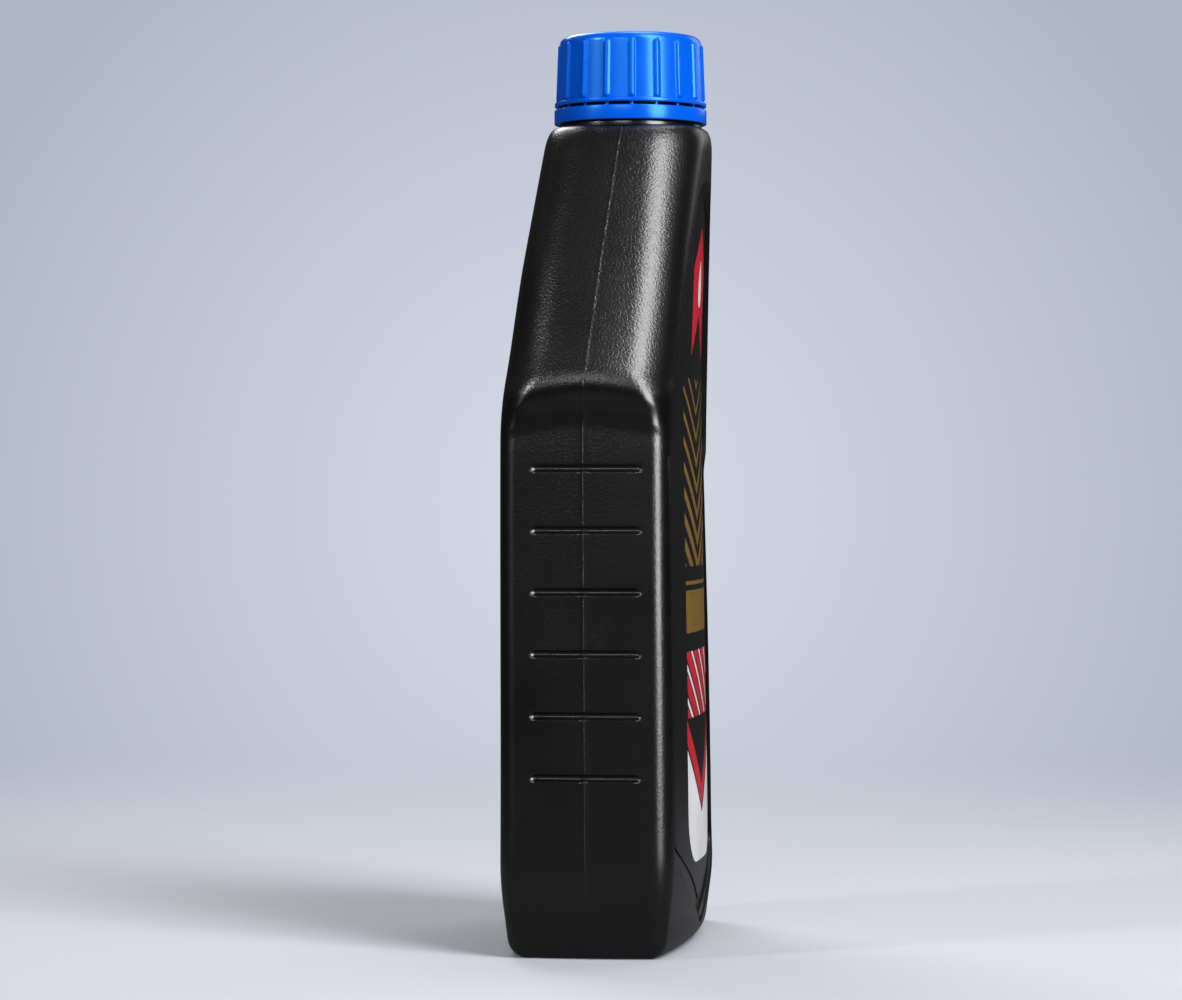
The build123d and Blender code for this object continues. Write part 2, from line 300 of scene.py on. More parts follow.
# Steps between rows: on the shell's grooves, bends, foot, crown, heel and plain wall, and down the cap's wall
GROOVE_STEP, BEND_STEP, FOOT_STEP = 0.3 * MM, 0.6 * MM, 0.72 * MM
CROWN_STEP, HEEL_STEP, PLAIN_STEP = 1.2 * MM, 1.4 * MM, 1.5 * MM
RIB_TIP_STEP, RIB_STEP, FLANGE_STEP = -0.1 * MM, -1.2 * MM, -0.4 * MM
FLANGE_NEAR = 2.0 * MM

# Gathered columns: their least share inside an edge and most outside it, the furthest out that an edge of a
# groove or a panel counts, and a rim's fine band: its reach in edge widths, most slant and middle line
GATHER_INSIDE = 0.3
GATHER_OUTSIDE = 0.6
EDGE_LIMIT = 0.9
PANEL_LIMIT = 0.97
RIM_REACH = 1.6
RIM_SLANT = 3.0
RIM_LINE = 0.1

# Soft start of the push-up, and how the arch over a grip runs out: past its ends, and over the faces in
# shares of the bottle's width
FOOT_SOFT = 0.4 * MM
ARCH_LIMIT = 1.6
ARCH_FROM = 0.125
ARCH_OVER = 0.225

# Grain: its strength on the grips and corners, the bare strip of the overhang in shares of its height, and
# the outward angles, from a narrow side's middle, where it fades out on the corners and in again
GRIP_RELIEF = 0.5
CORNER_RELIEF = 0.5
BARE_FROM = 0.6
BARE_OVER = 0.5
CORNER_START = radians(58.0)
CORNER_STOP = radians(72.0)
CORNER_FADE = radians(16.0)

# Thread: its section outwards and upwards, the least of both at its ends and the turns that those take, and
# how much later and lower the cap's thread starts than the neck's
THREAD_OUT = (0.0, 0.0, 0.55, 0.9, 1.0, 1.0, 0.9, 0.55)
THREAD_UP = (1.0, -1.0, -0.72, -0.55, -0.36, 0.36, 0.55, 0.72)
THREAD_LEAST = (0.15, 0.4)
THREAD_RUN_OUT = 0.12
CAP_THREAD_LATER = 0.4
CAP_THREAD_UNDER = 2.4

# Gate mark in the middle of the cap as (radius, height) in millimetres, its softness, the bare edge of the
# flat top, and the height under the top where the matt crown starts
GATE = ((0.5, 0.0), (0.9, 0.0), (1.1, -0.2), (1.5, -0.2), (1.8, 0.0))
GATE_SOFT = 0.12 * MM
CROWN_FLAT = 0.4 * MM
CROWN_MATT = 0.5 * MM

# Bridges: width at the waist, flare to the ends and squareness. Liner: depth of the ring that the lip presses
BRIDGE_WAIST = 0.75
BRIDGE_FLARE = 0.45
BRIDGE_SQUARE = -0.7
PRESS_DEPTH = 0.08 * MM

# Print: heights over the floor, widths from the middle line, and how steeply slanted lines climb
PRINT_HALF = 25.0 * MM
ROOF, ROOF_HALF, ROOF_PITCH = (172.0 * MM, 196.0 * MM), 13.0 * MM, 0.9
DROP_FOOT, DROP_HEIGHT, DROP_WIDTH = 174.0 * MM, 13.0 * MM, 9.0 * MM
CHEVRONS, CHEVRON_STEP, CHEVRON_PITCH = (103.0 * MM, 154.0 * MM), 7.2 * MM, -0.55
CHEVRON_THIN, CHEVRON_THICK = -7.0, 1.27
BAR, LINE = (85.0 * MM, 96.5 * MM), (98.0 * MM, 99.0 * MM)
STRIPES, STRIPE_STEP, STRIPE_PITCH = (62.0 * MM, 80.0 * MM), 9.0 * MM, 0.6
RED_STRIPE, WHITE_STRIPE = 0.56, (0.66, 0.86)
FOOT_PITCH, FOOT_WHITE, FOOT_RED, FOOT_HALF = -0.7, 35.0 * MM, (36.5 * MM, 43.0 * MM), 26.5 * MM
FOOT_ACROSS, FOOT_LINE, FOOT_RADIUS = 13.0 * MM, 36.0 * MM, 13.5 * MM
GOLD_METAL = 0.6

# Stage: the floor's radius, its first ring's share of that, where it begins to fade and how much of it gloss
# shows, the half angle of the background's painted halo of light, and the lamps with the place, width and
# height of each, in metres
FLOOR_RADIUS = 0.95
FLOOR_MIDDLE = 0.05
FLOOR_FADE = 0.1
FLOOR_MIRRORED = 0.17
HALO_SPREAD = radians(10.0)
LAMP_TARGET = Vector((0.0, 0.0, 0.12))
LAMPS = (
    ("key", (-0.82, -0.91, 0.84), 0.62, 1.75),
    ("strip", (-0.75, 0.95, 0.6), 0.3, 1.0),
    ("spot", (-0.8, 0.95, 0.72), 0.15, 0.15),
    ("front", (-1.2, 0.14, 0.64), 0.5, 0.25),
    ("overhead", (0.3, -0.1, 1.3), 0.5, 0.5),
    ("label", (0.9, -0.55, 0.6), 0.5, 0.5),
    ("back", (0.9, 0.5, 1.1), 0.5, 0.7),
)


def smooth_step(value):
    """Ramp from 0 to 1 with flat ends: 3v^2 - 2v^3, with v held between 0 and 1."""
    held = np.clip(value, 0.0, 1.0)
    return held * held * (3.0 - 2.0 * held)


def smooth_max(first, second, soft):
    """Higher of two surfaces, with the edge between them filled over a depth of soft."""
    near = np.maximum(soft - np.abs(first - second), 0.0) / soft
    return np.maximum(first, second) + near * near * soft / 4.0


def stations(*spans):
    """Heights from spans of (start, stop, step): each span is cut evenly, and its stop opens the next."""
    cuts = [np.linspace(start, stop, max(round((stop - start) / step), 1), endpoint=False)
            for start, stop, step in spans]
    return np.concatenate(cuts)


def polygon_distance(x, z, corners):
    """Signed distance to a convex polygon: to the nearest edge, and negative inside."""
    nearest = np.full(np.broadcast(x, z).shape, np.inf)
    inside = np.ones(nearest.shape, bool)
    for (ax, az), (bx, bz) in zip(corners, np.roll(corners, -1, axis=0)):
        along = ((x - ax) * (bx - ax) + (z - az) * (bz - az)) / ((bx - ax) ** 2 + (bz - az) ** 2)
        along = np.clip(along, 0.0, 1.0)
        nearest = np.minimum(nearest, np.hypot(x - ax - along * (bx - ax), z - az - along * (bz - az)))
        inside &= (bx - ax) * (z - az) - (bz - az) * (x - ax) > 0.0
    return np.where(inside, -nearest, nearest)


def inset_polygon(corners, inset):
    """Corners of a convex polygon whose edges are moved inwards: each is where two moved edges meet."""
    edges = np.roll(corners, -1, axis=0) - corners
    outward = np.stack([edges[:, 1], -edges[:, 0]], axis=1)
    outward /= np.linalg.norm(outward, axis=1, keepdims=True)
    reach = np.sum(outward * corners, axis=1) - inset
    pairs = np.stack([np.roll(outward, 1, axis=0), outward], axis=1)
    reaches = np.stack([np.roll(reach, 1), reach], axis=1)
    return np.linalg.solve(pairs, reaches[:, :, None])[:, :, 0]


def shield_distance(panel, x, z):
    """Signed distance to the front panel's outline: to its corners' inner polygon, less the corner radius."""
    corners = np.array([
        (0.0, panel.tip),
        (panel.half_width, panel.foot_corner),
        (panel.half_width, panel.shoulder_corner),
        (panel.top_half_width, panel.top),
        (-panel.top_half_width, panel.top),
        (-panel.half_width, panel.shoulder_corner),
        (-panel.half_width, panel.foot_corner),
    ])
    return polygon_distance(x, z, inset_polygon(corners, panel.corner)) - panel.corner


def back_distance(panel, x, z):
    """Signed distance to the back panel's outline, a rectangle with round corners."""
    middle = (panel.back_bottom + panel.back_top) / 2
    over_x = np.abs(x) - panel.back_width / 2 + panel.back_corner
    over_z = np.abs(z - middle) - (panel.back_top - panel.back_bottom) / 2 + panel.back_corner
    outside = np.hypot(np.maximum(over_x, 0.0), np.maximum(over_z, 0.0))
    return outside + np.minimum(np.maximum(over_x, over_z), 0.0) - panel.back_corner


def rounded_profile(corners, edge, steps=4):
    """Profile of (radius, height) corners, each rounded by a short quadratic curve that starts edge away."""
    corners = np.array(corners)
    rounded = [corners[:1]]
    shares = np.linspace(0.0, 1.0, steps)[:, None]
    for before, corner, after in zip(corners, corners[1:], corners[2:]):
        back = (before - corner) * min(edge / np.linalg.norm(before - corner), ROUND_LIMIT)
        ahead = (after - corner) * min(edge / np.linalg.norm(after - corner), ROUND_LIMIT)
        rounded.append(corner + back * (1.0 - shares) ** 2 + ahead * shares**2)
    rounded.append(corners[-1:])
    return np.concatenate(rounded)


def turned(radius, height, angle):
    """Points about the neck's axis: x = r cos a, y = neck + r sin a, z = height."""
    x, y, z = np.broadcast_arrays(radius * np.cos(angle), neck_y + radius * np.sin(angle), height)
    return np.stack([x, y, z], axis=2)


def revolved(profile, angles):
    """Rings of a profile of (radius, height) turned about the neck's axis."""
    return turned(profile[:, :1], profile[:, 1:], angles)


def skin(name, rings, poles=(), loop=False, flat_ends=False):
    """Mesh over stacks of closed rings: a quad between each four neighbours.

    Rings is an array of rows, columns and x, y, z, or of several such stacks. A fan closes each end to its
    pole. With loop, the last row meets the first. With flat ends, each end is closed straight across, from
    the first half of its columns to the second.
    """
    rings = rings.reshape(-1, *rings.shape[-3:])
    stacks, rows, columns = rings.shape[:3]
    index = np.arange(stacks * rows * columns).reshape(stacks, rows, columns)
    lower = index if loop else index[:, :-1]
    upper = np.roll(index, -1, axis=1) if loop else index[:, 1:]
    quads = np.stack([lower, np.roll(lower, -1, axis=2), np.roll(upper, -1, axis=2), upper], axis=3)
    faces = [quads.reshape(-1, 4)]
    points = [rings.reshape(-1, 3)]
    ends = index[:, 0, ::-1], index[:, -1]
    for number, (row, pole) in enumerate(zip(ends, poles)):
        tip = np.broadcast_to(index.size + number * stacks + np.arange(stacks)[:, None], row.shape)
        faces.append(np.stack([row, np.roll(row, -1, axis=1), tip], axis=2).reshape(-1, 3))
        points.append(np.array(pole).reshape(-1, 3))
    for row in ends if flat_ends else ():
        near, far = row[:, :columns // 2], row[:, :columns // 2 - 1:-1]
        cover = np.stack([near[:, :-1], near[:, 1:], far[:, 1:], far[:, :-1]], axis=2)
        faces.append(cover.reshape(-1, 4))
    return mesh_piece(name, np.concatenate(points), faces)


def mesh_piece(name, points, faces):
    """Object at the origin from points and lists of quads and triangles, smooth but for its sharp edges."""
    volume = sum(
        np.sum(points[part[:, 0]] * np.cross(points[part[:, near]], points[part[:, near + 1]]))
        for part in faces
        for near in range(1, part.shape[1] - 1)
    )
    if volume < 0.0:
        faces = [part[:, ::-1] for part in faces]
    loops = np.concatenate([part.ravel() for part in faces]).astype(np.int32)
    sizes = np.concatenate([np.full(len(part), part.shape[1]) for part in faces])
    starts = (np.cumsum(sizes) - sizes).astype(np.int32)
    mesh = bpy.data.meshes.new(name)
    mesh.vertices.add(len(points))
    mesh.loops.add(len(loops))
    mesh.polygons.add(len(sizes))
    mesh.vertices.foreach_set("co", points.astype(np.float32).ravel())
    mesh.loops.foreach_set("vertex_index", loops)
    mesh.polygons.foreach_set("loop_start", starts)
    mesh.update(calc_edges=True)
    if mesh.validate():
        raise RuntimeError(f"{name} has faces that Blender had to mend")
    mesh.shade_smooth()
    mesh.set_sharp_from_angle(angle=SHARP_ANGLE)
    piece = bpy.data.objects.new(name, mesh)
    bpy.context.scene.collection.objects.link(piece)
    return piece


def dress(piece, material, body, replaces=()):
    """Gives a finished piece its material, its body and the solids that it stands for."""
    piece.data.materials.append(material)
    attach(piece, body)
    for node in replaces:
        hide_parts(node)


# Blow-moulded shell

def soft_ramp(z, start, blend):
    """How far each height is above a bend, rounded by a parabola over a blend below and above it."""
    run = np.clip(z - start + blend, 0.0, 2 * blend)
    return run * run / (4 * blend) + np.maximum(z - start - blend, 0.0)


def side_reach(shell, grip, z):
    """Half the width at each height: straight lean, grip, overhang and shoulder, joined by soft bends."""
    lean = -shell.lean_in / (shell.break_height - shell.heel_height)
    inwards = lean - grip.depth / (grip.top - grip.bottom)
    grip_half = shell.heel_width / 2 + lean * (grip.top - shell.heel_height) - grip.depth
    break_half = shell.heel_width / 2 - shell.lean_in
    overhang = (break_half - grip_half) / (grip.ridge - grip.top)
    slant = (shell.crown_width / 2 - break_half) / (shell.shoulder_height - grip.ridge)
    half = shell.heel_width / 2 + lean * (z - shell.heel_height)
    half = half + (inwards - lean) * soft_ramp(z, grip.bottom, grip.blend)
    half = half + (overhang - inwards) * soft_ramp(z, grip.top, grip.blend)
    return half + (slant - overhang) * soft_ramp(z, grip.ridge, grip.blend)


def inset_rows(rows, inset, least):
    """The same outlines moved inwards all round, with corners no sharper than least."""
    return rows._replace(
        width=rows.width - 2 * inset,
        depth=rows.depth - 2 * inset,
        corner=np.maximum(rows.corner - inset, least),
        bow=rows.bow - inset,
    )


def wall_rows(settings, z):
    """Sizes of the outer outline at each height.

    From the floor to the heel every size tapers. From there the depth leans in and the outline leans a little
    to the back, and above the break it narrows and shifts to the neck. At the crown, the wall's size at its
    edge, the outer corner and the inset top are mixed as a quadratic curve (1-t)^2, 2t(1-t), t^2.
    """
    shell, grip = settings.shell, settings.grip
    rise = shell.shoulder_height - shell.break_height
    crown_edge = shell.shoulder_height - shell.crown_rise
    held = np.clip(z, shell.heel_height, crown_edge)
    risen = soft_ramp(held, shell.break_height, shell.break_blend) / rise
    lean = shell.lean_in / (shell.break_height - shell.heel_height)
    leaning = shell.heel_depth - 2 * lean * (held - shell.heel_height)
    top_depth = shell.heel_depth - 2 * lean * (shell.shoulder_height - shell.heel_height)
    over_grip = np.clip((held - grip.top) / (grip.ridge + grip.blend - grip.top), 0.0, 1.0)
    low_corner = shell.body_corner + over_grip * (shell.shoulder_corner - shell.body_corner)
    straight = (held - shell.heel_height) / (shell.break_height - shell.heel_height)
    back = shell.lean_back * smooth_step(straight)
    wall = Rows(
        width=2 * side_reach(shell, grip, held),
        depth=leaning + risen * (shell.crown_width - top_depth),
        corner=low_corner + risen * (shell.crown_corner - low_corner),
        bow=shell.face_bow + risen * (shell.crown_bow - shell.face_bow),
        crown=shell.side_crown + over_grip * (shell.shoulder_side_crown - shell.side_crown),
        shift=risen * neck_y + (1.0 - risen) * back,
    )
    taper = shell.heel_taper * soft_ramp(shell.heel_height - z, 0.0, shell.heel_blend) / shell.heel_height
    wall = inset_rows(wall, taper, shell.wall)
    crown = Rows(shell.crown_width, shell.crown_width, shell.crown_corner, shell.crown_bow,
                 shell.shoulder_side_crown, neck_y)
    top = inset_rows(crown, shell.shoulder_round, shell.wall)
    t = 1.0 - np.sqrt(np.clip((shell.shoulder_height - z) / shell.crown_rise, 0.0, 1.0))
    return Rows(*((1.0 - t) ** 2 * edge + 2.0 * t * (1.0 - t) * outer + t * t * end
                  for edge, outer, end in zip(wall, crown, top)))


def inner_rows(settings, z):
    """Sizes of the inner outline: the outer one moved in by the wall, and down by it towards the crown."""
    shell = settings.shell
    start = shell.break_height + shell.break_blend
    lower = shell.wall * np.clip((z - start) / (shell.shoulder_height - shell.crown_rise - start), 0.0, 1.0)
    return inset_rows(wall_rows(settings, z + lower), shell.wall, shell.wall)


def corner_arcs(rows):
    """Side radius, bow drop, corner centre and the angles where side, corner and bow meet.

    The side is the arc through its middle and its two crowned ends. A corner's centre lies at side radius
    less corner from the side's centre and at bow less corner from the bow's: where those two circles cross.
    """
    half, drop = rows.width / 2, rows.depth / 2 - rows.bow
    end = drop + np.sqrt(rows.bow**2 - (half - rows.crown) ** 2)
    side = (rows.crown**2 + end**2) / (2 * rows.crown)
    across, apart = side - half, np.hypot(side - half, drop)
    from_side, from_bow = side - rows.corner, rows.bow - rows.corner
    along = (from_side**2 - from_bow**2 + apart**2) / (2 * apart)
    beside = np.sqrt(from_side**2 - along**2)
    x = half - side + (along * across - beside * drop) / apart
    y = (along * drop + beside * across) / apart
    return side, drop, x, y, np.arctan2(y, x - half + side), np.arctan2(y - drop, x)


def outline(rows, columns):
    """x, y and outward angle of each row's outline, at the columns' shares of its sides, corners and bows."""
    side, drop, x, y, start, meet = corner_arcs(rows)
    half = rows.width / 2
    zero = np.zeros(len(half))
    arcs = (
        (half - side, zero, side, -start, start),
        (x, y, rows.corner, start, meet),
        (zero, drop, rows.bow, meet, pi - meet),
        (-x, y, rows.corner, pi - meet, pi - start),
        (side - half, zero, side, pi - start, pi + start),
        (-x, -y, rows.corner, pi + start, pi + meet),
        (zero, -drop, rows.bow, pi + meet, 2 * pi - meet),
        (x, -y, rows.corner, 2 * pi - meet, 2 * pi - start),
    )
    parts = []
    for arc, shares in zip(arcs, columns):
        across, along, radius, first, last = (value[:, None] for value in arc)
        angle = first + shares * (last - first)
        parts.append(np.stack([
            across + radius * np.cos(angle),
            rows.shift[:, None] + along + radius * np.sin(angle),
            angle,
        ]))
    return np.concatenate(parts, axis=2)


def gathered(edge, band, counts, line):
    """Shares from 0 to 1 over a face, gathered at its middle line and about two edges that move by row."""
    inner, rim, outer = counts
    start = np.maximum(edge - band, GATHER_INSIDE * edge)[:, None]
    stop = (edge + np.minimum(band, GATHER_OUTSIDE * (1.0 - edge)))[:, None]
    line = line[:, None]
    half = np.concatenate([
        line + (start - line) * np.linspace(0.0, 1.0, inner, endpoint=False),
        start + (stop - start) * np.linspace(0.0, 1.0, rim, endpoint=False),
        stop + (1.0 - stop) * np.linspace(0.0, 1.0, outer, endpoint=False),
    ], axis=1)
    ends = np.full((len(edge), 1), -1.0)
    return (1.0 + np.concatenate([ends, -half[:, ::-1], 0.0 * ends, half], axis=1)) / 2


def shell_columns(settings, rows, z):
    """Shares of the outline's arcs in each row: fine at the parting lines, groove ends and panel edges."""
    shell, grip, panel = settings.shell, settings.grip, settings.panel
    radius, _, _, _, start, meet = corner_arcs(rows)
    side_half, bow_half = radius * start, rows.bow * np.cos(meet)
    groove_end = np.minimum(grip.groove_length / 2 / side_half, EDGE_LIMIT)
    side = gathered(groove_end, grip.groove_height / side_half, SIDE_COLUMNS, shell.seam_width / side_half)
    corner = np.linspace(0.0, 1.0, CORNER_COLUMNS, endpoint=False)
    corner = np.broadcast_to(corner, (len(z), CORNER_COLUMNS))
    panel_half = np.interp(
        z,
        [panel.tip, panel.foot_corner, panel.shoulder_corner, panel.top],
        [panel.corner, panel.half_width, panel.half_width, panel.top_half_width],
    )
    slant = np.minimum(np.hypot(1.0, np.gradient(panel_half, z)), RIM_SLANT)
    rim = RIM_REACH * panel.edge / bow_half
    front_edge = np.minimum(panel_half / bow_half, PANEL_LIMIT)
    back_edge = np.minimum(panel.back_width / 2 / bow_half, EDGE_LIMIT)
    front = gathered(front_edge, rim * slant, FRONT_COLUMNS, RIM_LINE * rim)
    back = gathered(back_edge, rim, BACK_COLUMNS, RIM_LINE * rim)
    return side, corner, back, corner, side, corner, front, corner


def foot_inset(shell, z):
    """How far the foot's rounding draws the wall in: an arc that touches the floor and the leaning wall."""
    lean = atan2(shell.heel_taper, shell.heel_height)
    radius = shell.foot_round
    wall = shell.heel_taper * (1.0 - z / shell.heel_height)
    centre = shell.heel_taper * (1.0 - radius / shell.heel_height) + radius / cos(lean)
    arc = centre - np.sqrt(np.clip(radius**2 - (radius - z) ** 2, 0.0, None))
    return np.where(z < radius * (1.0 - sin(lean)), arc - wall, 0.0)


def groove_cut(grip, y, z):
    """Depth of the finger grooves: a slot with round ends at each pitch, with sloped and softened walls."""
    number = np.clip(np.round((grip.groove_top - z) / grip.groove_pitch), 0, grip.groove_count - 1)
    from_line = z - (grip.groove_top - number * grip.groove_pitch)
    straight = (grip.groove_length - grip.groove_height) / 2
    away = np.hypot(np.maximum(np.abs(y) - straight, 0.0), from_line)
    slope = (grip.groove_height - grip.groove_floor) / 2
    return grip.groove_depth * smooth_step((grip.groove_height / 2 - away) / slope)


def arch_hang(settings, x, y, z):
    """How far the ridge and the wall about it hang down: a parabola over the side, out on the faces."""
    grip, width = settings.grip, settings.shell.heel_width
    across = np.minimum((y / grip.arch_half) ** 2, ARCH_LIMIT)
    near = smooth_step((z - grip.top + grip.arch_foot) / grip.arch_foot)
    near = near * smooth_step((grip.ridge + grip.blend + grip.arch_reach - z) / grip.arch_reach)
    out = smooth_step((np.abs(x) / width - ARCH_FROM) / ARCH_OVER)
    return (grip.arch_low + grip.arch_rise * across) * near * out


def grain_mask(settings, facing, side_angle, z):
    """Where the mould is grained: on sides and faces, less on grips and corners, not on foot and panels."""
    shell, grip, panel = settings.shell, settings.grip, settings.panel
    foot = smooth_step((z - shell.smooth_foot) / shell.grain_fade + 0.5)
    open_face = smooth_step((facing - panel.edge) / MM)
    aside = np.abs(side_angle)
    flat = smooth_step((CORNER_START - aside) / CORNER_FADE)
    flat = flat + smooth_step((aside - CORNER_STOP) / CORNER_FADE)
    flat = CORNER_RELIEF + (1.0 - CORNER_RELIEF) * flat
    middle, reach = (grip.top + grip.ridge) / 2, (grip.ridge - grip.top) / 2
    overhang = smooth_step((np.abs(z - middle) - BARE_FROM * reach) / (BARE_OVER * reach))
    relief = GRIP_RELIEF + (1.0 - GRIP_RELIEF) * smooth_step((z - grip.top) / (grip.ridge - grip.top))
    return foot * open_face * flat * relief * np.where(aside < CORNER_STOP, overhang, 1.0)


def shell_wall(settings, z, inner=False):
    """Rings of the shell's wall at heights z, and the grain's mask."""
    shell, grip, panel = settings.shell, settings.grip, settings.panel
    rows = inner_rows(settings, z) if inner else wall_rows(settings, z)
    inset = shell.wall if inner else 0.0
    x, y, angle = outline(rows, shell_columns(settings, rows, z))
    z = np.broadcast_to(z[:, None], x.shape)
    side_angle = (angle + pi / 2) % pi - pi / 2
    front = shield_distance(panel, x, z) - inset
    back = back_distance(panel, x, z) - inset
    facing = np.where(y < 0.0, front, back)
    recess = np.where(y < 0.0, panel.recess, panel.back_recess)
    set_in = recess * smooth_step((panel.edge - facing) / (2 * panel.edge))
    set_in = set_in + foot_inset(shell, np.maximum(z - inset, 0.0))
    if not inner:
        on_side = smooth_step((CORNER_START - np.abs(side_angle)) / CORNER_FADE)
        set_in = set_in + on_side * groove_cut(grip, y, z)
        seam = np.zeros(x.shape[1])
        seam[[SEAM_COLUMN, SEAM_COLUMN + SEAM_APART]] = shell.seam_height
        set_in = set_in - seam
    x, y = x - np.cos(angle) * set_in, y - np.sin(angle) * set_in
    hung = z - arch_hang(settings, x, y, z)
    return np.stack([x, y, hung], axis=2), grain_mask(settings, facing, side_angle, z)


def shell_heights(settings):
    """Heights of the outer wall's rows: close together wherever the form turns."""
    shell, grip, panel = settings.shell, settings.grip, settings.panel
    lean = atan2(shell.heel_taper, shell.heel_height)
    foot = shell.foot_round * (1.0 - np.cos(np.linspace(0.0, pi / 2 - lean, FOOT_ROWS, endpoint=False)))
    grooves = grip.groove_top - grip.groove_pitch * np.arange(grip.groove_count)[::-1]
    near = grip.groove_height
    crown = shell.shoulder_height - shell.crown_rise
    spans = [
        (shell.foot_round * (1.0 - sin(lean)), panel.tip, FOOT_STEP),
        (panel.tip, panel.foot_corner, FOOT_STEP),
        (panel.foot_corner, grooves[0] - near, HEEL_STEP),
    ]
    for groove, following in zip(grooves, [*grooves[1:], grip.top - grip.blend + near]):
        spans += [(groove - near, groove + near, GROOVE_STEP), (groove + near, following - near, PLAIN_STEP)]
    spans += [
        (grip.top - grip.blend, shell.break_height + shell.break_blend, BEND_STEP),
        (shell.break_height + shell.break_blend, panel.top - panel.corner, PLAIN_STEP),
        (panel.top - panel.corner, panel.top + panel.recess, BEND_STEP),
        (panel.top + panel.recess, crown, CROWN_STEP),
    ]
    rounding = shell.crown_rise * (1.0 - np.linspace(0.0, 1.0, CROWN_ROWS)) ** 2
    return np.concatenate([foot, stations(*spans), shell.shoulder_height - rounding])


def foot_rings(settings, lift, grow):
    """Rings of the foot from its middle out: the push-up's flat, its slope and the ring on the floor."""
    shell = settings.shell
    edge = shell.heel_taper + shell.foot_ring - grow
    top = edge + shell.push_up_run
    inset = np.array([top + 2 * FOOT_SOFT, top, edge, edge - FOOT_SOFT])
    z = np.array([shell.push_up, shell.push_up, 0.0, 0.0]) + lift
    heel = wall_rows(settings, np.full(len(inset), shell.heel_height))
    columns = shell_columns(settings, heel, TINY * np.arange(len(inset)))
    x, y, _ = outline(inset_rows(heel, inset, shell.wall), columns)
    return np.stack([x, y, np.broadcast_to(z[:, None], x.shape)], axis=2)


def neck_profile(shell, neck):
    """Corners of the neck from the shoulder up over the lip and down the bore."""
    ring_top = shell.shoulder_height + neck.ring_height
    bead = ring_top + neck.bead_gap
    bead_top = bead + neck.bead_edge + neck.bead_slope
    lip = bottle_high.z
    return rounded_profile([
        (neck.ring_radius, shell.shoulder_height),
        (neck.ring_radius, ring_top),
        (neck.radius, ring_top),
        (neck.radius, bead),
        (neck.bead_radius, bead),
        (neck.bead_radius, bead + neck.bead_edge),
        (neck.radius, bead_top),
        (neck.radius, lip),
        (neck.bore, lip),
        (neck.bore, shell.shoulder_height - shell.wall),
    ], neck.edge)


def bottle_shell(settings):
    """Closed skin: foot, outer wall, neck, bore, inner wall and inner floor, ring after ring."""
    shell = settings.shell
    outer, grain = shell_wall(settings, shell_heights(settings))
    angles = np.arctan2(outer[-1, :, 1] - neck_y, outer[-1, :, 0])
    neck = revolved(neck_profile(shell, settings.neck), angles)
    down = np.linspace(shell.shoulder_height - shell.wall, shell.wall, INNER_ROWS)
    inner = shell_wall(settings, down[::-1], inner=True)[0][::-1]
    foot = foot_rings(settings, 0.0, 0.0)
    floor = foot_rings(settings, shell.wall, shell.wall)[::-1]
    rings = np.concatenate([foot, outer, neck, inner, floor])
    poles = [(0.0, 0.0, shell.push_up), (0.0, 0.0, shell.push_up + shell.wall)]
    piece = skin("bottle_shell", rings, poles)
    mask = np.zeros(len(piece.data.vertices), np.float32)
    first = len(foot) * rings.shape[1]
    mask[first:first + grain.size] = grain.ravel()
    piece.data.attributes.new("grain", "FLOAT", "POINT").data.foreach_set("value", mask)
    return piece


# Label, threads, cap, band and liner

def label_half_width(panel, z):
    """Half the label's width at each height, by halving: where the panel's rim is a margin away."""
    low = np.zeros(len(z))
    high = np.full(len(z), panel.half_width)
    for _ in range(HALVINGS):
        middle = (low + high) / 2
        inside = shield_distance(panel, middle, z) < -panel.label_margin
        low, high = np.where(inside, middle, low), np.where(inside, high, middle)
    return (low + high) / 2


def front_face(settings, z, across, inset):
    """Points of the bowed front at heights z and places across, moved inwards by an inset.

    With bow R, drop d and shift s, the front is at y = s - d - sqrt(R^2 - x^2).
    """
    rows = inset_rows(wall_rows(settings, z), inset, settings.shell.wall)
    drop = rows.depth / 2 - rows.bow
    y = (rows.shift - drop)[:, None] - np.sqrt(rows.bow[:, None] ** 2 - across**2)
    return np.stack([across, y, np.broadcast_to(z[:, None], across.shape)], axis=2)


def label_film(settings):
    """Film on the front panel: face and back are the bowed front at two insets, closed along the rim."""
    panel = settings.panel
    middle = (panel.tip + panel.top) / 2
    reach = (panel.top - panel.tip) / 2 - panel.label_margin
    z = middle - reach * np.cos(np.linspace(*LABEL_ENDS, LABEL_ROWS) * pi)
    half = label_half_width(panel, z)
    kept = half > panel.film
    z, half = z[kept], half[kept]
    across = half[:, None] * np.sin(np.linspace(-pi / 2, pi / 2, LABEL_COLUMNS))
    back_inset = panel.recess - panel.glue
    face = front_face(settings, z, across, back_inset - panel.film)
    back = front_face(settings, z, across, back_inset)
    return skin("front_label_film", np.concatenate([face, back[:, ::-1]], axis=1), flat_ends=True)


def helix(name, start, turns, lead, first_turn, root, crest, foot):
    """Thread ridge: a closed section carried up a right-hand helix, z = start + lead * turn.

    The section runs from its root, which is sunk in the wall, over a crest of half the root's height, and
    swells from its least height and thickness at both ends.
    """
    turn_at = np.linspace(0.0, turns, THREAD_STATIONS)[:, None]
    swell = smooth_step(np.minimum(turn_at, turns - turn_at) / THREAD_RUN_OUT)
    proud, thick = (least + (1.0 - least) * swell for least in THREAD_LEAST)
    radius = root + (crest - root) * np.array(THREAD_OUT) * proud
    height = start + lead * turn_at + foot * np.array(THREAD_UP) * thick
    rings = turned(radius, height, 2 * pi * (turn_at + first_turn))
    return skin(name, rings, [rings[0].mean(axis=0), rings[-1].mean(axis=0)])


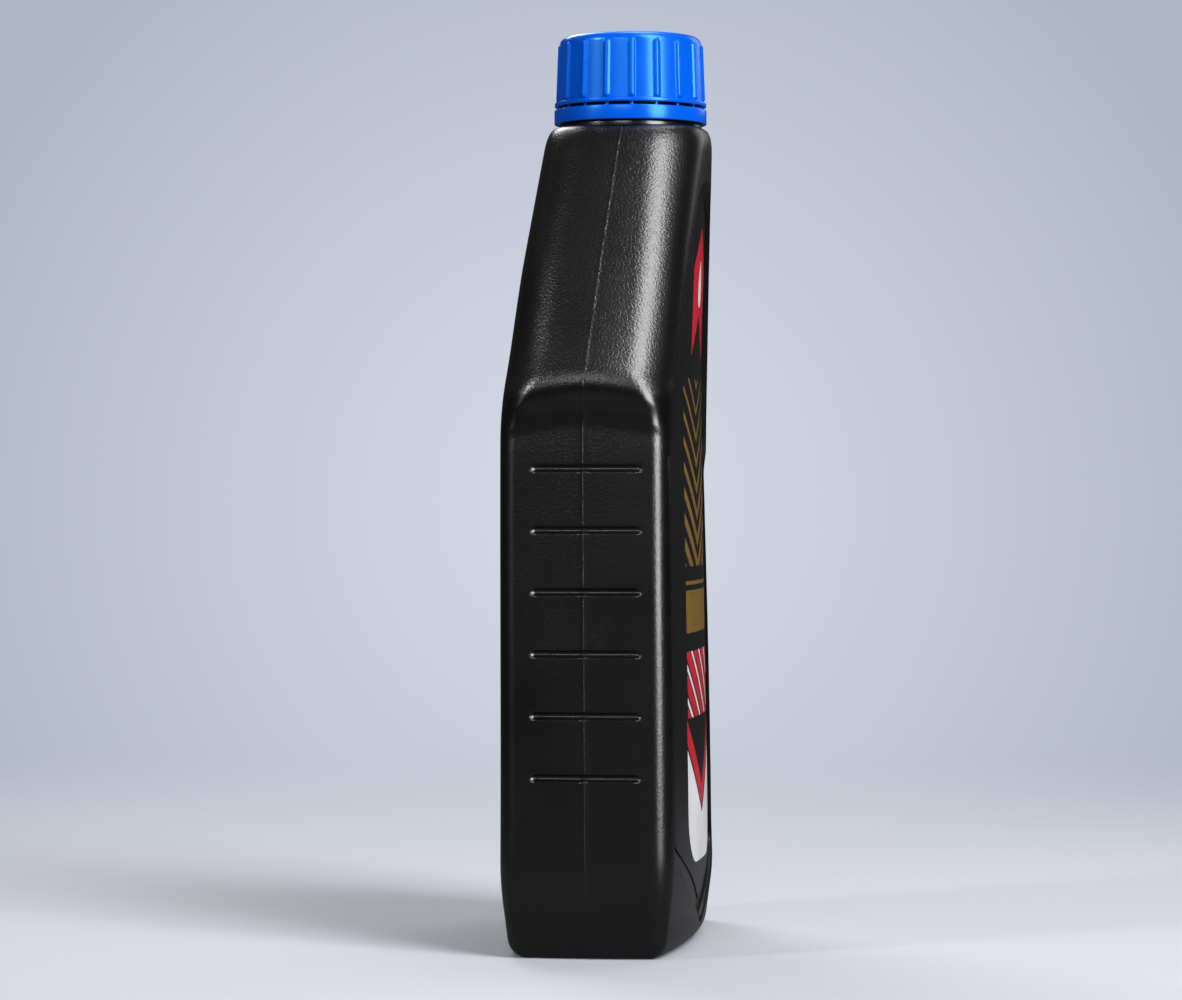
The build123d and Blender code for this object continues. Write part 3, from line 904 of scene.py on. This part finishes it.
def thread_start(settings):
    """Height where the neck's thread begins: above the support ring, the bead and some room."""
    neck = settings.neck
    bead = settings.shell.shoulder_height + neck.ring_height + neck.bead_gap
    return bead + neck.bead_edge + neck.bead_slope + neck.thread_start


def neck_thread(settings):
    """Thread on the neck, over the bead."""
    neck = settings.neck
    return helix("neck_thread", thread_start(settings), neck.thread_turns, neck.lead, 0.0,
                 neck.radius - neck.edge, neck.radius + neck.thread_proud, neck.thread_foot)


def cap_thread(settings):
    """Thread in the cap, just under the neck's, and later round the turn, so that it stays inside the cap."""
    neck, cap = settings.neck, settings.cap
    start = thread_start(settings) + CAP_THREAD_LATER * neck.lead - CAP_THREAD_UNDER * neck.thread_foot
    return helix("cap_thread", start, neck.thread_turns, neck.lead, CAP_THREAD_LATER,
                 cap.bore + cap.edge, cap.bore - cap.thread_proud, neck.thread_foot)


def cap_rib(cap, radius, z, angles):
    """Radius of the ribs' round backs: a circle about a centre that follows the wall, with a ball tip."""
    pitch = 2 * pi / cap.rib_count
    off = (angles - cap.rib_phase + pitch / 2) % pitch - pitch / 2
    centre = radius + cap.rib_proud - cap.rib_radius
    tip = cap_high.z - cap.rib_top_gap - cap.rib_radius / 2
    over_tip = np.maximum(z - tip, 0.0)
    back = np.clip(cap.rib_radius**2 - over_tip**2, 0.0, None) - (centre * np.sin(off)) ** 2
    return np.where(back > 0.0, centre * np.cos(off) + np.sqrt(np.clip(back, 0.0, None)), 0.0)


def screw_cap(settings):
    """Closed skin of the cap: crown with its gate mark, rounded edge, ribbed wall, flange, foot and bore."""
    cap = settings.cap
    pitch = 2 * pi / cap.rib_count
    in_pitch = np.concatenate([-np.array(RIB_COLUMNS[:0:-1]), np.array(RIB_COLUMNS[:-1])])
    turns = np.arange(cap.rib_count)[:, None] * pitch + cap.rib_phase
    angles = (turns + in_pitch * pitch / 2).ravel()
    top, bottom = cap_high.z, cap_low.z
    flange_top = bottom + cap.flange_height
    gate = [(radius * MM, top + height * MM) for radius, height in GATE]
    gate = rounded_profile([*gate, (cap.top_radius - cap.edge_round - CROWN_FLAT, top)], GATE_SOFT)
    draft = (cap.foot_radius - cap.top_radius) / (top - flange_top)
    edge = top - cap.edge_round
    tip = top - cap.rib_top_gap
    sweep = np.linspace(0.0, pi / 2, CROWN_ROWS, endpoint=False)
    crown = np.stack([
        cap.top_radius + draft * cap.edge_round - cap.edge_round * (1.0 - np.sin(sweep)),
        top - cap.edge_round * (1.0 - np.cos(sweep)),
    ], axis=1)
    heights = stations(
        (edge, tip - cap.rib_radius, RIB_TIP_STEP),
        (tip - cap.rib_radius, flange_top + FLANGE_NEAR, RIB_STEP),
        (flange_top + FLANGE_NEAR, flange_top + cap.edge, FLANGE_STEP),
    )
    wall = np.stack([cap.top_radius + draft * (top - heights), heights], axis=1)
    outer = np.concatenate([gate, crown, wall])
    radius, z = outer[:, :1], outer[:, 1:]
    ribbed = smooth_max(radius, cap_rib(cap, radius, z, angles), cap.rib_soft)
    inside = rounded_profile([
        (cap.foot_radius, flange_top + cap.edge / 2),
        (cap.foot_radius + cap.edge / 2, flange_top),
        (cap.flange_radius, flange_top),
        (cap.flange_radius, bottom),
        (cap.bore, bottom),
        (cap.bore, liner_high.z),
        (cap.bore / 2, liner_high.z),
    ], cap.edge)
    rings = np.concatenate([turned(ribbed, z, angles), revolved(inside, angles)])
    return skin("screw_cap_shell", rings, [(0.0, neck_y, top), (0.0, neck_y, liner_high.z)])


def tamper_band(settings):
    """Ring that stays on the neck: a closed section with the lip that catches the bead, turned round."""
    cap = settings.cap
    low, high = band_low.z, band_low.z + cap.band_height
    outside = band_high.x
    inside = outside - cap.band_wall
    seam = (outside, (low + high) / 2)
    section = rounded_profile([
        seam,
        (outside, high),
        (inside, high),
        (inside, low + cap.band_lip_height),
        (cap.band_lip, low + cap.band_lip_height),
        (cap.band_lip, low + cap.band_lip_height / 2),
        (inside, low),
        (outside, low),
        seam,
    ], cap.edge)[:-1]
    angles = np.linspace(0.0, 2 * pi, BAND_COLUMNS, endpoint=False)
    return skin("tamper_band_ring", revolved(section, angles), loop=True)


def band_bridges(settings):
    """Small bridges from the band up to the cap: waisted posts, one by each rib, in a stack of rings each."""
    cap = settings.cap
    low, high = band_low.z + cap.band_height, band_high.z
    shares = np.linspace(0.0, 1.0, BRIDGE_ROWS)
    height = low + (high - low) * shares
    waist = BRIDGE_WAIST + BRIDGE_FLARE * (2.0 * shares - 1.0) ** 2
    corner = np.linspace(0.0, 2 * pi, BRIDGE_COLUMNS, endpoint=False)
    squarish = np.maximum(np.abs(np.cos(corner)), np.abs(np.sin(corner))) ** BRIDGE_SQUARE
    radial = cap.foot_radius - cap.band_wall / 2 + cap.band_wall / 4 * np.cos(corner) * squarish
    aside = cap.bridge_width / 2 * waist[:, None] * np.sin(corner) * squarish
    turn_to = (np.arange(cap.rib_count) * 2 * pi / cap.rib_count + cap.rib_phase)[:, None, None]
    x = radial * np.cos(turn_to) - aside * np.sin(turn_to)
    y = neck_y + radial * np.sin(turn_to) + aside * np.cos(turn_to)
    rings = np.stack([x, y, np.broadcast_to(height[:, None], x.shape)], axis=3)
    return skin("band_bridges", rings, [rings[:, 0].mean(axis=1), rings[:, -1].mean(axis=1)])


def cap_liner(settings):
    """Sealing disc: a flat disc with soft edges, and the shallow ring that the lip has pressed into it."""
    neck = settings.neck
    radius = liner_high.x
    low, high = liner_low.z, liner_high.z
    profile = rounded_profile([
        (radius / 3, low),
        (neck.bore, low),
        (neck.bore + neck.edge, low + PRESS_DEPTH),
        (neck.radius - neck.edge, low + PRESS_DEPTH),
        (neck.radius, low),
        (radius, low),
        (radius, high),
        (radius / 3, high),
    ], 2 * PRESS_DEPTH)
    angles = np.linspace(0.0, 2 * pi, BAND_COLUMNS, endpoint=False)
    return skin("cap_liner_disc", revolved(profile, angles), [(0.0, neck_y, low), (0.0, neck_y, high)])


# Materials

def place(tree, kind, inputs=None, **settings):
    """Adds a node. Each input is a plain value or the output socket of another node."""
    node = tree.nodes.new(kind)
    for name, value in settings.items():
        setattr(node, name, value)
    for key, value in (inputs or {}).items():
        if isinstance(value, bpy.types.NodeSocket):
            tree.links.new(value, node.inputs[key])
        else:
            node.inputs[key].default_value = value
    return node


def calc(tree, operation, *values):
    """Output of a Math node."""
    return place(tree, "ShaderNodeMath", dict(enumerate(values)), operation=operation).outputs[0]


def blend(tree, factor, first, second):
    """Output of a colour Mix node."""
    inputs = {"Factor": factor, 6: first, 7: second}
    return place(tree, "ShaderNodeMix", inputs, data_type="RGBA").outputs[2]


def opaque(colour):
    """Colour property as the four numbers that a colour socket takes."""
    return (*colour, 1.0)


def new_material(name):
    """Node material with only a Principled BSDF and its output."""
    material = bpy.data.materials.new(name)
    material.use_nodes = True
    tree = material.node_tree
    return material, tree, tree.nodes["Principled BSDF"]


def moulded_finish():
    """Group for every moulded plastic: slow drift of tone and gloss, and the faint ripple of a mould.

    Inputs are the middle roughness, how far it drifts, and how many ripples fit in a metre. Outputs are a
    tone near one, the roughness and the ripple's height.
    """
    known = bpy.data.node_groups.get("moulded_finish")
    if known:
        return known
    group = bpy.data.node_groups.new("moulded_finish", "ShaderNodeTree")
    for name, default in (("Roughness", 0.3), ("Drift", 0.06), ("Ripples", 700.0)):
        socket = group.interface.new_socket(name, in_out="INPUT", socket_type="NodeSocketFloat")
        socket.default_value = default
    for name in ("Tone", "Roughness", "Height"):
        group.interface.new_socket(name, in_out="OUTPUT", socket_type="NodeSocketFloat")
    given = place(group, "NodeGroupInput").outputs
    where = place(group, "ShaderNodeTexCoord").outputs["Object"]
    slow = place(group, "ShaderNodeTexNoise", {"Vector": where, "Scale": 45.0, "Detail": 3.0}).outputs["Fac"]
    ripple = place(group, "ShaderNodeTexNoise", {"Vector": where, "Scale": given["Ripples"], "Detail": 2.0})
    centred = calc(group, "SUBTRACT", slow, 0.5)
    results = {
        "Tone": calc(group, "MULTIPLY_ADD", centred, 0.5, 1.0),
        "Roughness": calc(group, "MULTIPLY_ADD", centred, given["Drift"], given["Roughness"]),
        "Height": ripple.outputs["Fac"],
    }
    place(group, "NodeGroupOutput", results)
    return group


def moulded(tree, roughness, drift, ripples):
    """Places the shared finish with its own values and returns its outputs."""
    inputs = {"Roughness": roughness, "Drift": drift, "Ripples": ripples}
    return place(tree, "ShaderNodeGroup", inputs, node_tree=moulded_finish()).outputs


def surface(tree, shader, colour, tone, roughness, height, depth):
    """Feeds a shader with a colour times its tone, a roughness, and a bump of a depth in metres."""
    toned = place(tree, "ShaderNodeVectorMath", {0: colour, "Scale": tone}, operation="SCALE")
    bump = place(tree, "ShaderNodeBump", {"Height": height, "Distance": depth})
    tree.links.new(toned.outputs[0], shader.inputs["Base Color"])
    tree.links.new(roughness, shader.inputs["Roughness"])
    tree.links.new(bump.outputs["Normal"], shader.inputs["Normal"])


def leather_grain(tree, cell):
    """Height of the mould's leather grain: bent cells with creases between them, and finer pores on top."""
    where = place(tree, "ShaderNodeTexCoord").outputs["Object"]
    warp = place(tree, "ShaderNodeTexNoise", {"Vector": where, "Scale": 0.6 / cell, "Detail": 2.0})
    inputs = {0: warp.outputs["Color"], 1: (cell, cell, cell), 2: where}
    bent = place(tree, "ShaderNodeVectorMath", inputs, operation="MULTIPLY_ADD")
    inputs = {"Vector": bent.outputs[0], "Scale": 1.0 / cell}
    cells = place(tree, "ShaderNodeTexVoronoi", inputs, feature="DISTANCE_TO_EDGE")
    pores = place(tree, "ShaderNodeTexNoise", {"Vector": where, "Scale": 2.2 / cell, "Detail": 3.0})
    inputs = {"Value": cells.outputs["Distance"], "From Max": 0.32}
    crease = place(tree, "ShaderNodeMapRange", inputs, interpolation_type="SMOOTHSTEP")
    return calc(tree, "MULTIPLY_ADD", pores.outputs["Fac"], 0.55, crease.outputs["Result"])


def black_hdpe(finish):
    """Pigmented black polyethylene: satin where the mould is smooth, leather grained by the mask."""
    material, tree, shader = new_material("grained_black")
    shader.inputs["Specular IOR Level"].default_value = finish.hdpe_shine
    group = moulded(tree, finish.hdpe_gloss, drift=0.1, ripples=420.0)
    mask = place(tree, "ShaderNodeAttribute", attribute_name="grain").outputs["Fac"]
    grain = calc(tree, "MULTIPLY", leather_grain(tree, finish.grain_cell), mask)
    rise = calc(tree, "MULTIPLY_ADD", group["Height"], 0.12, grain)
    rougher = calc(tree, "MULTIPLY_ADD", mask, finish.grain_gloss - finish.hdpe_gloss, group["Roughness"])
    surface(tree, shader, finish.hdpe, group["Tone"], rougher, rise, finish.grain_depth)
    return material


def plain_plastic(name, colour, gloss, shine, ripples, depth):
    """Moulded plastic of one pigment with the shared drift of tone and gloss."""
    material, tree, shader = new_material(name)
    shader.inputs["Specular IOR Level"].default_value = shine
    group = moulded(tree, gloss, drift=0.08, ripples=ripples)
    surface(tree, shader, colour, group["Tone"], group["Roughness"], group["Height"], depth)
    return material


def both(tree, first, second):
    """Product of two values, and the mask that is one where both are."""
    return calc(tree, "MULTIPLY", first, second)


def either(tree, first, second):
    """Mask that is one where at least one of two is."""
    return calc(tree, "MAXIMUM", first, second)


def under(tree, value, limit):
    """Mask that is one below a limit."""
    return calc(tree, "LESS_THAN", value, limit)


def within(tree, value, low, high):
    """Mask that is one between two limits."""
    return both(tree, calc(tree, "GREATER_THAN", value, low), under(tree, value, high))


def slanted(tree, along, pitch, z):
    """Height over a slanted line: z plus the pitch times the place along it."""
    return calc(tree, "MULTIPLY_ADD", along, pitch, z)


def past(tree, value, limit):
    """How far a value is past a limit, and zero before it."""
    return calc(tree, "MAXIMUM", calc(tree, "SUBTRACT", value, limit), 0.0)


def label_inks(tree):
    """Masks of the label's inks by place across and height: roof, drop, chevrons, bars, stripes and foot."""
    where = place(tree, "ShaderNodeTexCoord").outputs["Object"]
    parts = place(tree, "ShaderNodeSeparateXYZ", {"Vector": where}).outputs
    x, z = parts["X"], parts["Z"]
    aside = calc(tree, "ABSOLUTE", x)
    column = under(tree, aside, PRINT_HALF)
    roof = both(tree, within(tree, slanted(tree, aside, ROOF_PITCH, z), *ROOF), under(tree, aside, ROOF_HALF))
    up = calc(tree, "MINIMUM", calc(tree, "DIVIDE", past(tree, z, DROP_FOOT), DROP_HEIGHT), 1.0)
    taper = both(tree, calc(tree, "SQRT", up), calc(tree, "SUBTRACT", 1.0, up))
    drop = under(tree, aside, both(tree, taper, DROP_WIDTH))
    climb = calc(tree, "DIVIDE", slanted(tree, aside, CHEVRON_PITCH, z), CHEVRON_STEP)
    thick = calc(tree, "MULTIPLY_ADD", z, CHEVRON_THIN, CHEVRON_THICK)
    chevrons = both(tree, under(tree, calc(tree, "FRACT", climb), thick), within(tree, z, *CHEVRONS))
    bars = either(tree, within(tree, z, *BAR), within(tree, z, *LINE))
    gold = both(tree, either(tree, chevrons, bars), column)
    slant = calc(tree, "FRACT", calc(tree, "DIVIDE", slanted(tree, x, STRIPE_PITCH, z), STRIPE_STEP))
    stripes = both(tree, within(tree, z, *STRIPES), column)
    red_stripe = both(tree, stripes, under(tree, slant, RED_STRIPE))
    white_stripe = both(tree, stripes, within(tree, slant, *WHITE_STRIPE))
    foot_line = slanted(tree, aside, FOOT_PITCH, z)
    over_x = past(tree, aside, FOOT_ACROSS)
    under_z = calc(tree, "MAXIMUM", calc(tree, "SUBTRACT", FOOT_LINE, z), 0.0)
    squares = calc(tree, "MULTIPLY_ADD", over_x, over_x, both(tree, under_z, under_z))
    round_foot = under(tree, calc(tree, "SQRT", squares), FOOT_RADIUS)
    white_foot = both(tree, round_foot, under(tree, foot_line, FOOT_WHITE))
    red_foot = both(tree, under(tree, aside, FOOT_HALF), within(tree, foot_line, *FOOT_RED))
    red = either(tree, roof, either(tree, red_stripe, red_foot))
    white = either(tree, drop, either(tree, white_stripe, white_foot))
    return red, gold, white


def printed_film(finish):
    """Glossy printed film: black ground, red and white inks, and a gold ink with a metal lustre."""
    material, tree, shader = new_material("printed_film")
    group = moulded(tree, roughness=0.22, drift=0.06, ripples=90.0)
    red, gold, white = label_inks(tree)
    colour = blend(tree, red, opaque(finish.film_black), opaque(finish.film_red))
    colour = blend(tree, gold, colour, opaque(finish.film_gold))
    colour = blend(tree, white, colour, opaque(finish.film_white))
    surface(tree, shader, colour, group["Tone"], group["Roughness"], group["Height"], depth=0.04 * MM)
    tree.links.new(both(tree, gold, GOLD_METAL), shader.inputs["Metallic"])
    return material


def shared_plastic(finish):
    """The cap's blue plastic, made once for the cap and its band: matt on the crown's flat top."""
    known = bpy.data.materials.get("moulded_blue")
    if known:
        return known
    material = plain_plastic(
        "moulded_blue", finish.cap_blue, finish.cap_gloss, shine=0.8, ripples=260.0, depth=0.006 * MM)
    tree = material.node_tree
    shader = tree.nodes["Principled BSDF"]
    shader.inputs["Specular Tint"].default_value = opaque(finish.cap_sheen)
    where = place(tree, "ShaderNodeTexCoord").outputs["Object"]
    height = place(tree, "ShaderNodeSeparateXYZ", {"Vector": where}).outputs["Z"]
    crown = place(tree, "ShaderNodeMapRange", {
        "Value": height,
        "From Min": cap_high.z - CROWN_MATT,
        "From Max": cap_high.z,
        "To Max": finish.crown_gloss - finish.cap_gloss,
    }, interpolation_type="SMOOTHSTEP").outputs["Result"]
    gloss = shader.inputs["Roughness"].links[0].from_socket
    tree.links.new(calc(tree, "ADD", gloss, crown), shader.inputs["Roughness"])
    return material


# Stage: floor, background, lamps and camera

def floor_disc(studio):
    """Pale floor: flat rings about the bottle. It fades out at the rim, and gloss shows only a part of it."""
    radius = np.linspace(FLOOR_MIDDLE, 1.0, FLOOR_ROWS)[:, None] * FLOOR_RADIUS
    angle = np.linspace(0.0, 2 * pi, FLOOR_COLUMNS, endpoint=False)
    x, y = radius * np.cos(angle), radius * np.sin(angle)
    rings = np.stack([x, y, np.full(x.shape, bottle_low.z)], axis=2)
    floor = skin("studio_floor", rings, [(0.0, 0.0, bottle_low.z)])
    material, tree, shader = new_material("studio_floor")
    shader.inputs["Base Color"].default_value = opaque(studio.floor)
    shader.inputs["Roughness"].default_value = 0.9
    shader.inputs["Specular IOR Level"].default_value = 0.0
    where = place(tree, "ShaderNodeTexCoord").outputs["Object"]
    away = place(tree, "ShaderNodeVectorMath", {0: where}, operation="LENGTH").outputs["Value"]
    limits = {"From Min": FLOOR_FADE, "From Max": FLOOR_RADIUS, "To Min": 1.0, "To Max": 0.0}
    solid = place(tree, "ShaderNodeMapRange", {"Value": away, **limits}, interpolation_type="SMOOTHSTEP")
    glossy_ray = place(tree, "ShaderNodeLightPath").outputs["Is Glossy Ray"]
    kept = calc(tree, "MULTIPLY_ADD", glossy_ray, FLOOR_MIRRORED - 1.0, 1.0)
    tree.links.new(calc(tree, "MULTIPLY", solid.outputs["Result"], kept), shader.inputs["Alpha"])
    floor.data.materials.append(material)


def background(studio, sight):
    """World: even light on the object, and for the camera alone a background with a painted halo of light
    round the line of sight, fading to a darker far colour.
    """
    world = bpy.data.worlds.new("studio_background")
    world.use_nodes = True
    tree = world.node_tree
    shader = tree.nodes["Background"]
    toward = place(tree, "ShaderNodeTexCoord").outputs["Generated"]
    along = place(tree, "ShaderNodeVectorMath", {0: toward, 1: sight}, operation="DOT_PRODUCT")
    angle = calc(tree, "ARCCOSINE", along.outputs["Value"])
    limits = {"From Max": HALO_SPREAD, "To Min": 1.0, "To Max": 0.0}
    spread = place(tree, "ShaderNodeMapRange", {"Value": angle, **limits})
    # Painted light: the background that the camera sees is lighter round the line of sight, a painted halo of
    # light
    shown = blend(tree, spread.outputs["Result"], opaque(studio.far), opaque(studio.halo))
    camera_ray = place(tree, "ShaderNodeLightPath").outputs["Is Camera Ray"]
    even = (studio.ambient, studio.ambient, studio.ambient, 1.0)
    tree.links.new(blend(tree, camera_ray, even, shown), shader.inputs["Color"])
    bpy.context.scene.world = world


def soft_lamp(name, watts, place_at, width, height):
    """Rectangular area lamp that looks at the middle of the bottle."""
    lamp = bpy.data.lights.new(name, "AREA")
    lamp.shape = "RECTANGLE"
    lamp.size, lamp.size_y = width, height
    lamp.energy = watts
    holder = bpy.data.objects.new(name, lamp)
    holder.location = place_at
    holder.rotation_euler = (LAMP_TARGET - Vector(place_at)).to_track_quat("-Z", "Y").to_euler()
    bpy.context.scene.collection.objects.link(holder)


def photo_camera(studio):
    """Level camera on a circle about the neck, turned a little past it; returns the line of sight."""
    camera = bpy.data.cameras.new("photo_camera")
    camera.lens = studio.lens
    camera.clip_start, camera.clip_end = 0.01, 50.0
    holder = bpy.data.objects.new("photo_camera", camera)
    around = studio.azimuth
    holder.location = (
        studio.distance * sin(around),
        neck_y - studio.distance * cos(around),
        studio.height,
    )
    facing = around + studio.yaw
    holder.rotation_euler = (pi / 2, 0.0, facing)
    bpy.context.scene.collection.objects.link(holder)
    bpy.context.scene.camera = holder
    return -sin(facing), cos(facing), 0.0


# Operators, one for each piece or group of like pieces

class OILBOTTLE_OT_shell(Operator):
    """Build the moulded shell and the thread on its neck"""

    bl_idname = "oil_bottle.shell"
    bl_label = "Moulded shell"

    def execute(self, context):
        settings = context.scene.oil_bottle
        black = black_hdpe(settings.finish)
        dress(bottle_shell(settings), black, "bottle", ["bottle_body"])
        dress(neck_thread(settings), black, "bottle")
        return {"FINISHED"}


class OILBOTTLE_OT_label(Operator):
    """Build the printed film on the front panel"""

    bl_idname = "oil_bottle.label"
    bl_label = "Front label"

    def execute(self, context):
        settings = context.scene.oil_bottle
        dress(label_film(settings), printed_film(settings.finish), "bottle", ["front_label"])
        return {"FINISHED"}


class OILBOTTLE_OT_band(Operator):
    """Build the tamper band and its bridges"""

    bl_idname = "oil_bottle.band"
    bl_label = "Tamper band"

    def execute(self, context):
        settings = context.scene.oil_bottle
        blue = shared_plastic(settings.finish)
        dress(tamper_band(settings), blue, "bottle", ["tamper_band"])
        dress(band_bridges(settings), blue, "bottle")
        return {"FINISHED"}


class OILBOTTLE_OT_cap(Operator):
    """Build the ribbed cap and the thread inside it"""

    bl_idname = "oil_bottle.cap"
    bl_label = "Screw cap"

    def execute(self, context):
        settings = context.scene.oil_bottle
        blue = shared_plastic(settings.finish)
        dress(screw_cap(settings), blue, "cap", ["screw_cap"])
        dress(cap_thread(settings), blue, "cap")
        return {"FINISHED"}


class OILBOTTLE_OT_liner(Operator):
    """Build the sealing disc in the cap"""

    bl_idname = "oil_bottle.liner"
    bl_label = "Cap liner"

    def execute(self, context):
        settings = context.scene.oil_bottle
        foam = plain_plastic(
            "foam_disc", settings.finish.liner, gloss=0.65, shine=0.4, ripples=1500.0, depth=0.05 * MM)
        dress(cap_liner(settings), foam, "liner", ["cap_liner"])
        return {"FINISHED"}


class OILBOTTLE_OT_stage(Operator):
    """Set up the floor, background, lamps and camera"""

    bl_idname = "oil_bottle.stage"
    bl_label = "Stage"

    def execute(self, context):
        studio = context.scene.oil_bottle.studio
        context.scene.view_settings.view_transform = "Standard"
        floor_disc(studio)
        background(studio, photo_camera(studio))
        for name, place_at, width, height in LAMPS:
            soft_lamp(f"{name}_lamp", getattr(studio, name), place_at, width, height)
        return {"FINISHED"}


class OILBOTTLE_PT_pieces(Panel):
    """Sidebar panel that lists the operators and their sizes"""

    bl_idname = "OILBOTTLE_PT_pieces"
    bl_label = "Oil Bottle"
    bl_space_type = "VIEW_3D"
    bl_region_type = "UI"
    bl_category = "Oil Bottle"

    def draw(self, context):
        settings = context.scene.oil_bottle
        for operator in operators:
            self.layout.operator(operator.bl_idname)
        for group in SETTING_GROUPS:
            box = self.layout.box()
            box.label(text=group.capitalize())
            values = getattr(settings, group)
            for name in values.bl_rna.properties.keys():
                if name not in ("rna_type", "name"):
                    box.prop(values, name)


SETTING_GROUPS = ("shell", "grip", "panel", "neck", "cap", "finish", "studio")
groups = (
    ShellSizes, GripSizes, PanelSizes, NeckSizes, CapSizes, FinishColours, StudioSettings, BottleSettings)
operators = (
    OILBOTTLE_OT_shell,
    OILBOTTLE_OT_label,
    OILBOTTLE_OT_band,
    OILBOTTLE_OT_cap,
    OILBOTTLE_OT_liner,
    OILBOTTLE_OT_stage,
)


def register():
    """Registers the classes and hangs the settings on the scene."""
    for listed in (*groups, *operators, OILBOTTLE_PT_pieces):
        bpy.utils.register_class(listed)
    bpy.types.Scene.oil_bottle = PointerProperty(type=BottleSettings)


def unregister():
    """Takes the settings and the classes away again."""
    del bpy.types.Scene.oil_bottle
    for listed in reversed((*groups, *operators, OILBOTTLE_PT_pieces)):
        bpy.utils.unregister_class(listed)


def main():
    register()
    bpy.ops.oil_bottle.shell()
    bpy.ops.oil_bottle.label()
    bpy.ops.oil_bottle.band()
    bpy.ops.oil_bottle.cap()
    bpy.ops.oil_bottle.liner()
    bpy.ops.oil_bottle.stage()


if __name__ == "__main__":
    main()
